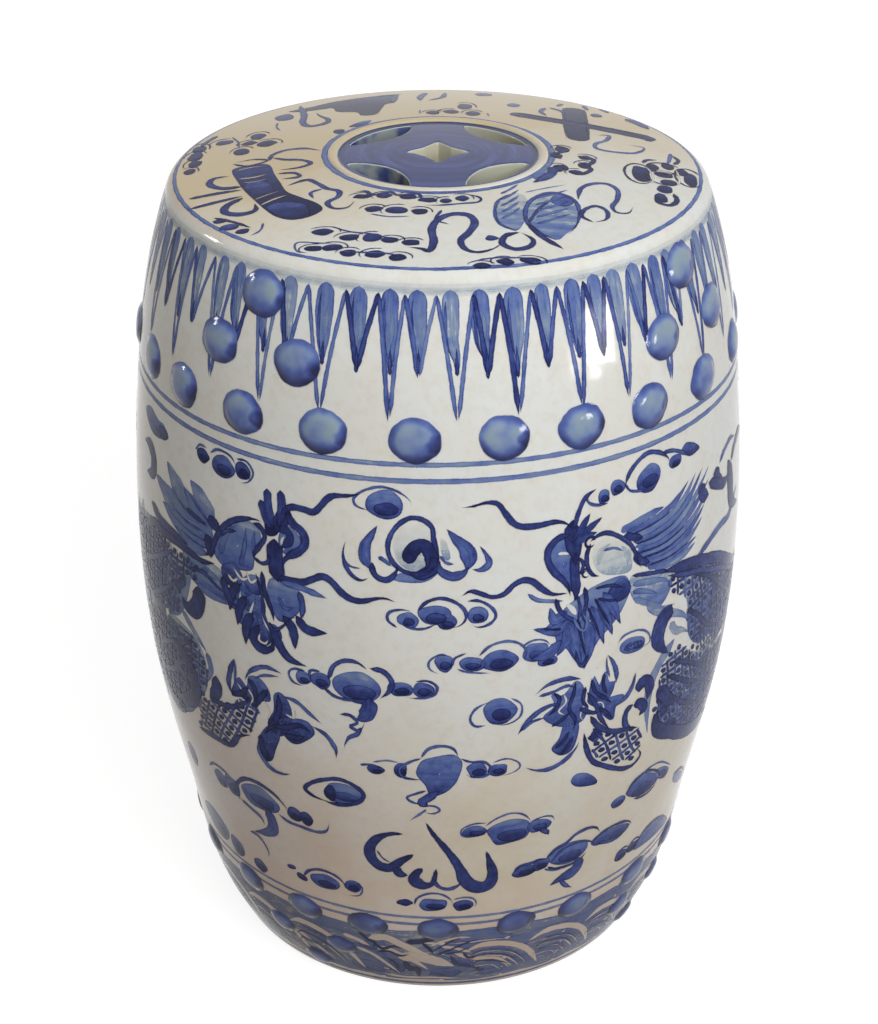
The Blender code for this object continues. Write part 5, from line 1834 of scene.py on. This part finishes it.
def paint_scroll(fill, ink, bare):
    """Rolled scroll tied with ribbons, left of the coin."""
    fill.wash([(-107, -12), (-97, -8), (-88, -10), (-84, -25), (-80, -38), (-76, -50), (-69, -58),
               (-60, -67),
               (-57, -75), (-63, -82), (-72, -84), (-80, -79), (-86, -70), (-92, -58), (-98, -45),
               (-103, -30)], 0.95)
    fill.dab(-74, -72, 12, 9, 0.8, -40)
    fill.dab(-91, -42, 11, 7, 0.78, -65)
    strokes(ink, (
        (1.8, 0.9, (-108, -3), (-99, -9), (-89, -4), (-97, 0), (-107, -2)),
        (2.8, 0.85, (-127, -45), (-113, -43), (-99, -42)),
        (2.8, 0.85, (-125, -58), (-112, -54), (-98, -50)),
        (3.2, 0.82, (-99, -38), (-110, -37), (-117, -30), (-116, -22), (-107, -21)),
        (3.6, 0.85, (-98, -52), (-106, -60), (-106, -68), (-98, -72), (-91, -69), (-92, -60)),
        (2.4, 0.65, (-88, -5), (-87, 4), (-80, 10), (-70, 10), (-61, 4)),
        (2.4, 0.78, (-87, 0), (-80, -5), (-71, -8), (-66, -14), (-72, -19), (-83, -20)),
        (2.2, 0.82, (-83, -25), (-74, -26), (-71, -32), (-81, -33)),
        (2.6, 0.75, (-77, -43), (-67, -37), (-61, -43), (-56, -50), (-50, -54), (-50, -61), (-55, -67),
         (-52, -74),
         (-45, -74), (-41, -66)),
        (1.8, 0.65, (-58, -50), (-64, -54), (-62, -62)),
        (2.0, 0.85, (-112, -72), (-101, -80), (-91, -89)),
        (1.3, 0.55, (-86, -84), (-87, -92), (-92, -97)),
    ))
    blots(fill, ((-108, -77, 4, 3, 0.82), (-103, -85, 5, 3.6, 0.78), (-96, -91, 4, 3.2, 0.88)))
    strokes(bare, (
        (1.8, 0.0, (-103, -27), (-95, -27), (-87, -24)),
        (1.2, 0.0, (-100, -33), (-93, -33), (-86, -30)),
        (1.8, 0.0, (-89, -64), (-82, -58), (-75, -54)),
        (1.2, 0.0, (-93, -57), (-86, -52), (-79, -48)),
        (1.4, 0.0, (-105, -15), (-97, -12), (-90, -13)),
    ))


def paint_leaves(fill, ink):
    """A pair of leaves with ribbons on both sides, at the front of the seat."""
    fill.wash([(38, -100), (30, -92), (28, -80), (30, -68), (36, -60), (42, -58), (45, -66), (44, -78),
               (43, -88)], 0.12)
    fill.wash([(57, -107), (47, -98), (43, -85), (45, -70), (52, -58), (60, -55), (68, -62), (70, -75),
               (68, -90),
               (62, -101)], 0.2)
    fill.dab(62, -63, 6, 7, 0.5)
    strokes(ink, (
        (1.7, 0.6, (39, -101), (30, -93), (28, -80), (30, -68), (36, -60), (43, -58)),
        (2.2, 0.65, (58, -108), (47, -98), (43, -85), (45, -69), (52, -58), (60, -55), (68, -62), (70, -75),
         (68, -90), (62, -103)),
        (3.0, 0.88, (44, -92), (51, -105), (61, -116)),
        (1.8, 0.7, (44, -92), (50, -75), (58, -62)),
        (1.1, 0.25, (43, -57), (54, -50), (66, -43)),
    ))
    for k in range(5):
        lift = 7.0 * k
        ink.line([(31, -88 + lift), (36, -82 + lift), (41, -74 + lift)], 1.6, 0.42)
        ink.line([(48, -92 + lift), (56, -86 + lift), (66, -78 + lift)], 1.8, 0.48)
    strokes(ink, (
        (3.4, 0.8, (-15, -117), (-8, -119), (-4, -121), (-2, -112), (-3, -100), (0, -90), (7, -84),
         (15, -85),
         (18, -93), (15, -103), (11, -111), (13, -119), (19, -122), (27, -118), (32, -110)),
        (3.0, 0.85, (40, -101), (33, -105), (31, -113), (37, -118), (44, -115), (46, -108), (40, -101)),
        (1.6, 0.7, (2, -79), (-1, -90), (6, -95)),
        (2.4, 0.66, (70, -62), (72, -48), (78, -40), (86, -38), (91, -45), (90, -57), (87, -66), (89, -72),
         (95, -71),
         (98, -62)),
        (2.3, 0.76, (77, -86), (71, -80), (73, -72), (79, -67), (84, -72), (83, -81), (76, -86)),
    ))
    fill.dab(26, -108, 3.4, 3, 0.85)


def paint_crossed_rods(fill, ink):
    """Two rods laid crosswise with ribbons, behind the coin on the right."""
    fill.line([(41, 71), (60, 63), (80, 56), (100, 49), (116, 44)], 10.5, 0.95, 0.0, 0.0)
    fill.line([(76, 97), (76, 75), (75, 50), (75, 24)], 12.5, 1.0, 0.0, 0.0)
    strokes(ink, (
        (1.6, 0.92, (70, 95), (69, 60), (68.5, 26)),
        (1.6, 0.92, (82, 95), (81.5, 60), (81, 26)),
        (1.5, 0.9, (42, 75), (62, 66), (82, 59), (115, 49)),
        (2.4, 0.65, (60, 91), (57, 80), (60, 70)),
        (2.4, 0.6, (62, 92), (68, 86), (70, 78)),
        (2.4, 0.6, (70, 106), (67, 97)),
        (2.4, 0.6, (82, 106), (84, 93)),
        (2.4, 0.6, (91, 101), (96, 92)),
        (4.6, 0.7, (104, 82), (111, 73), (116, 63)),
        (2.2, 0.5, (85, 38), (92, 40), (90, 30), (84, 22), (84, 14), (92, 11), (104, 13), (110, 24),
         (100, 27)),
        (2.0, 0.5, (124, 21), (122, 8), (120, 0)),
    ))
    blots(fill, ((42, 93, 4, 5, 0.55), (88, 82, 4, 5, 0.78), (43, 70, 4, 4, 0.92), (114, 43, 4, 5, 0.92)))


def paint_fan(fill, ink):
    """Dark fan with looped ribbons, behind the coin on the left."""
    fill.wash([(-84, 90), (-72, 97), (-60, 107), (-45, 115), (-28, 121), (-23, 116), (-24, 98), (-29, 93),
               (-31, 82),
               (-34, 68), (-42, 67), (-45, 75), (-56, 79), (-60, 90), (-74, 86)], 1.0)
    strokes(ink, (
        (3.2, 0.72, (-78, 104), (-76, 90), (-74, 75), (-74, 60), (-70, 51), (-62, 54), (-60, 62), (-65, 72),
         (-68, 82)),
        (1.2, 0.5, (-88, 65), (-88, 55), (-85, 46)),
        (3.2, 0.72, (-24, 120), (-25, 106), (-25, 96)),
        (3.4, 0.62, (-7, 125), (-10, 112), (-10, 101)),
        (2.6, 0.62, (4, 125), (2, 110), (-6, 101)),
        (2.0, 0.6, (-34, 118), (-20, 122)),
    ))
    blots(fill,
          ((-85, 76, 5.6, 8, 0.78), (26, 122, 5, 5.6, 0.58), (-42, 49, 8, 3.6, 0.68, 48),
           (-53, 36, 3.4, 5, 0.86)))


def paint_seat_clouds(fill, ink):
    """Chains of small cloud lobes between the emblems."""
    lobes = (
        (-56, -99, 5, 2.8, 0.82), (-43, -106, 4.4, 2.8, 0.82), (-32, -107, 4.4, 3.2, 0.68),
        (-23, -110, 4, 2.4, 0.82),
        (-13, -113, 4, 2.4, 0.86), (-60, -115, 4, 2.4, 0.9), (-51, -115, 4.4, 2.8, 0.82),
        (-43, -121, 3.6, 2.8, 0.82),
        (-30, -123, 4.4, 2.8, 0.86), (-19, -127, 4, 2.8, 0.9), (21, -134, 4, 2.2, 0.82),
        (32, -130, 4, 2.6, 0.86),
        (44, -128, 4.6, 2.4, 0.86), (-38, -62, 4, 2.4, 0.86), (-27, -62, 3.6, 2.6, 0.7),
        (-15, -64, 4, 2.8, 0.7),
        (-5, -68, 4, 2.4, 0.8), (4, -69, 3, 2.4, 0.75), (12, -66, 3.4, 2.8, 0.75), (-32, -77, 4, 2.8, 0.82),
        (-20, -79, 4.8, 3.4, 0.72), (-9, -81, 3.6, 2.8, 0.88), (65, 7, 3.4, 3.8, 0.74),
        (62, -4, 3, 2.8, 0.84),
        (77, -3, 3.4, 2.8, 0.74), (76, -15, 3.4, 3.8, 0.78), (71, -26, 3.4, 2.8, 0.84),
        (62, -22, 2.8, 3.8, 0.74),
        (-97, 40, 3.8, 4.8, 0.78), (-101, 29, 3.8, 3.2, 0.74), (-91, 25, 4.6, 4.2, 0.78),
        (-104, 15, 3.8, 4.8, 0.74),
        (-115, 36, 4.6, 3.8, 0.68), (-128, 30, 3.2, 5.4, 0.7), (-129, 17, 3.6, 5.4, 0.74),
        (-128, 5, 3.6, 4.6, 0.84),
        (-130, -6, 2.8, 3.6, 0.84), (-3, 69, 3.4, 3.4, 0.82), (7, 72, 4, 3.8, 0.78),
        (15, 85, 3.6, 5.6, 0.74),
        (19, 68, 3.6, 4.6, 0.74),
    )
    for n, (x, y, wide, high, load) in enumerate(lobes):
        fill.dab(x, y, 1.2 * wide, 1.3 * high, load + 0.15)
        turn = 40 * (n % 3)
        ink.arc(x, y, 1.75 * wide, 1.9 * high, turn - 20, turn + 150, 1.0, 0.7)
    strokes(ink, (
        (1.3, 0.6, (-50, -96), (-41, -101), (-33, -103), (-26, -107), (-16, -109)),
        (1.2, 0.55, (-62, -119), (-68, -116), (-68, -108), (-57, -110), (-47, -112)),
        (1.4, 0.6, (-48, -119), (-37, -121), (-24, -123), (-14, -128)),
        (1.3, 0.6, (17, -130), (27, -127), (38, -126), (48, -125)),
        (2.0, 0.75, (-42, -56), (-36, -56), (-33, -61), (-24, -58), (-20, -62), (-10, -61), (-8, -66),
         (2, -65)),
        (1.6, 0.7, (15, -61), (21, -65), (20, -70), (12, -72), (2, -74), (-8, -74)),
        (1.2, 0.5, (-34, -82), (-24, -86), (-12, -86)),
        (2.6, 0.95, (62, 13), (68, 8), (64, 2), (60, -3), (65, -9)),
        (2.6, 0.95, (73, -1), (81, -5), (78, -13), (72, -10)),
        (2.6, 0.95, (74, -14), (79, -20), (73, -28), (67, -24)),
        (2.4, 0.95, (59, -20), (65, -18), (66, -26)),
        (4.6, 0.75, (60, -20), (58, -30), (54, -37), (48, -44)),
        (1.2, 0.5, (-112, 46), (-107, 32), (-106, 20)),
        (1.1, 0.35, (-10, 76), (-10, 66)),
        (1.1, 0.35, (27, 70), (28, 62)),
        (2.6, 0.7, (-120, 52), (-125, 42), (-128, 32)),
    ))


def paint_knot(fill, ink, bare):
    """A dense knot of dark cloud lobes near the rim on the right."""
    blots(fill,
          ((105, -18, 5.4, 12, 1.0), (112, -6, 4, 5, 1.0), (117, -16, 5.4, 4.4, 1.0),
           (119, -26, 5, 4.6, 1.0),
                 (120, -2, 3.8, 6, 0.95), (127, -8, 3.6, 6, 1.0), (131, -18, 4, 10, 1.0),
                 (116, -36, 4.4, 6, 0.95),
                 (113, -48, 3.6, 6.6, 0.95), (52, -30, 3, 10, 0.3, -18)))
    for u, v, wide, high in ((104, -18, 7.6, 14), (117, -20, 9, 10), (118, -6, 9, 8), (130, -15, 7, 13)):
        ink.arc(u, v, wide, high, 20, 340, 1.4, 0.9)
    strokes(ink, (
        (2.6, 0.95, (120, -40), (121, -49), (117, -56), (111, -54), (110, -45)),
        (2.2, 0.9, (124, 2), (127, 10), (124, 18)),
        (2.0, 0.9, (107, -2), (110, 4), (116, 6)),
    ))
    strokes(bare, (
        (1.7, 0.0, (110, -31), (111, -18), (108, -5)),
        (1.5, 0.0, (124, -29), (125, -15), (124, -3)),
        (1.5, 0.0, (112, -22), (117, -21), (123, -22)),
        (1.5, 0.0, (113, -11), (117, -10), (123, -12)),
        (1.5, 0.0, (111, -41), (116, -43), (120, -42)),
    ))


def paint_side(side, shift, paint, bare_glaze):
    """The dragons and clouds of the front, or of the back."""
    fill = Layer(f"paint_{side}_wash", wall_chart, lift=0.05, seed=11)
    pool = Layer(f"paint_{side}_dab", wall_chart, lift=0.09, seed=10)
    bare = Layer(f"paint_{side}_reserve", wall_chart, lift=0.18, seed=12)
    ink = Layer(f"paint_{side}_line", wall_chart, lift=0.22, seed=13, gain=1.4)
    d = Drawing(fill, pool, bare, ink, shift)
    for motif in (
        paint_pearl,
        paint_clouds_near_pearl,
        paint_tailed_cloud_a,
        paint_tailed_cloud_b,
        paint_low_clouds,
        paint_flames,
        paint_high_clouds,
        paint_dragons,
        paint_side_clouds,
    ):
        motif(d)
    fill.build(paint)
    pool.build(paint)
    bare.build(bare_glaze, "white_glaze")
    ink.build(paint)


def paint_all(paint, bare_glaze):
    bands = Layer("paint_bands", wall_chart, lift=0.05, seed=3)
    paint_bands(bands)
    bands.build(paint)
    fringe_fill = Layer("paint_fringe_wash", wall_chart, lift=0.06, seed=5)
    fringe_ink = Layer("paint_fringe_line", wall_chart, lift=0.12, seed=7)
    paint_fringe(fringe_fill, fringe_ink)
    fringe_fill.build(paint)
    fringe_ink.build(paint)
    paint_side("front", 0.0, paint, bare_glaze)
    paint_side("back", math.pi * BELLY_RADIUS, paint, bare_glaze)
    wave_fill = Layer("paint_waves_wash", wall_chart, lift=0.06, seed=17)
    wave_bare = Layer("paint_waves_reserve", wall_chart, lift=0.12, seed=19)
    wave_ink = Layer("paint_waves_line", wall_chart, lift=0.15, seed=23)
    paint_waves(wave_fill, wave_ink, wave_bare)
    paint_spray(wave_fill, wave_ink, wave_bare)
    wave_fill.build(paint)
    wave_bare.build(bare_glaze, "white_glaze")
    wave_ink.build(paint)
    seat_fill = Layer("paint_seat_wash", seat_chart, lift=0.06, seed=29)
    seat_ink = Layer("paint_seat_line", seat_chart, lift=0.12, seed=31, gain=1.35)
    seat_bare = Layer("paint_seat_reserve", seat_chart, lift=0.16, seed=37)
    paint_seat_rings(seat_fill)
    paint_scroll(seat_fill, seat_ink, seat_bare)
    paint_leaves(seat_fill, seat_ink)
    paint_crossed_rods(seat_fill, seat_ink)
    paint_fan(seat_fill, seat_ink)
    paint_seat_clouds(seat_fill, seat_ink)
    paint_knot(seat_fill, seat_ink, seat_bare)
    seat_fill.build(paint)
    seat_ink.build(paint)
    seat_bare.build(bare_glaze, "white_glaze")


# Studio

CAMERA_PLACE = (0.0005, -1.1508, 0.8546)
CAMERA_DOWN = math.radians(28.04)
FOCAL_PIXELS = 2300.0
PHOTO_HEIGHT = 1024.0
SENSOR_WIDTH = 36.0
NEUTRAL_LAMP = (1.0, 1.0, 1.0)
WINDOW_AIM = (0.05, -0.1, 0.41)
FLOOR_REACH = 6.0
FLOOR_GLOW = 0.86

# Name, place, aim, size, power and colour of the lamps that light the stool
SOFT_LAMPS = (
    ("soft_key", (0.95, -2.0, 1.5), (0, 0, 0.3), (1.4, 1.4), 40.5, (1.0, 1.0, 0.99)),
    ("soft_top", (0.1, -0.9, 1.9), (0, 0, 0.4), (1.3, 1.3), 9.0, (0.98, 0.99, 1.0)),
    ("soft_back", (-0.5, 2.3, 0.29), (0, 0, 0.24), (1.8, 0.3), 13.0, (1.0, 1.0, 0.99)),
)
# Name, place, size and power of the lamps that only the gloss shows
WINDOW_LAMPS = (
    ("window", (1.5, -0.87, 0.43), (0.36, 0.3), 11.0),
    ("window_pane", (1.46, -0.96, 0.22), (0.14, 0.07), 0.9),
    ("window_gap", (1.3, -1.16, 0.34), (0.08, 0.14), 1.0),
    ("left_window", (-1.9, 0.4, 0.92), (0.3, 0.3), 8.0),
)


def make_camera():
    data = bpy.data.cameras.new("photo_view")
    data.sensor_width = SENSOR_WIDTH
    data.lens = data.sensor_width * FOCAL_PIXELS / PHOTO_HEIGHT
    camera = add_object("photo_view", data)
    camera.location = CAMERA_PLACE
    camera.rotation_euler = (math.pi / 2 - CAMERA_DOWN, 0.0, 0.0)
    bpy.context.scene.camera = camera


def area_light(name, place_at, aim, size, power, colour):
    data = bpy.data.lights.new(name, "AREA")
    data.shape = "RECTANGLE"
    data.size, data.size_y = size
    data.energy = power
    data.color = colour
    lamp = add_object(name, data)
    lamp.location = place_at
    away = lamp.location - type(lamp.location)(aim)
    lamp.rotation_euler = away.to_track_quat("Z", "Y").to_euler()
    return lamp


def seen_directly(tree):
    """1 for camera, glossy and transmission rays, which see the white studio."""
    path = tree.nodes.new("ShaderNodeLightPath")
    shine = calc(tree, "MAXIMUM", path.outputs["Is Glossy Ray"], path.outputs["Is Transmission Ray"])
    return calc(tree, "MAXIMUM", path.outputs["Is Camera Ray"], shine)


def make_world():
    """White as the camera sees it. As a light it is dimmer, and warmer from the left."""
    world = bpy.data.worlds.new("studio")
    world.use_nodes = True
    tree = world.node_tree
    background = tree.nodes["Background"]
    way = tree.nodes.new("ShaderNodeTexCoord").outputs["Generated"]
    side = fade(tree, split_up(tree, way)[0], -0.9, 0.7)
    ambient = blend(tree, side, tint(150, 144, 136), tint(170, 171, 174))
    colour = blend(tree, seen_directly(tree), ambient, WHITE)
    tree.links.new(colour, background.inputs["Color"])
    background.inputs["Strength"].default_value = 1.0
    bpy.context.scene.world = world


def make_floor():
    """A pale studio floor that keeps the stool's shadow."""
    mesh = bpy.data.meshes.new("floor")
    sides = ((-1, -1), (1, -1), (1, 1), (-1, 1))
    corners = [(FLOOR_REACH * x, FLOOR_REACH * y, 0.0) for x, y in sides]
    mesh.from_pydata(corners, [], [(0, 1, 2, 3)])
    floor = add_object("floor", mesh)
    made, tree, shader = new_material("studio_floor")
    shader.inputs["Roughness"].default_value = 0.9
    shader.inputs["Specular IOR Level"].default_value = 0.0
    colour = blend(tree, seen_directly(tree), tint(110, 90, 76), tint(140, 140, 140))
    tree.links.new(colour, shader.inputs["Base Color"])
    shader.inputs["Emission Color"].default_value = WHITE
    glow = times(tree, seen_directly(tree), FLOOR_GLOW)
    tree.links.new(glow, shader.inputs["Emission Strength"])
    mesh.materials.append(made)


def make_lights():
    for row in SOFT_LAMPS:
        area_light(*row).visible_glossy = False
    for name, place_at, size, power in WINDOW_LAMPS:
        lamp = area_light(name, place_at, WINDOW_AIM, size, power, NEUTRAL_LAMP)
        lamp.visible_diffuse = False


def main():
    glaze, clay = make_glaze(), make_clay()
    make_drum(glaze, clay)
    make_seat(glaze, clay)
    make_coin(make_coin_paint())
    button = make_boss_paint()
    for prefix, size, rise in (
        ("upper_boss", BOSS_SIZE, BOSS_RISE),
        ("cluster_boss", BOSS_SIZE, BOSS_RISE),
        ("lower_boss", LOW_BOSS_SIZE, LOW_BOSS_RISE),
    ):
        found = node_places(prefix)
        places = [(u, z) for u, z, name in found]
        make_bosses(prefix + "es", places, size, rise, button, [name for u, z, name in found])
    make_bosses("low_clusters", low_cluster_places(), LOW_CLUSTER_SIZE, LOW_BOSS_RISE, button, [])
    paint_all(make_paint(), make_reserve())
    make_camera()
    make_lights()
    make_world()
    make_floor()
    bpy.context.scene.view_settings.view_transform = "Standard"


main()
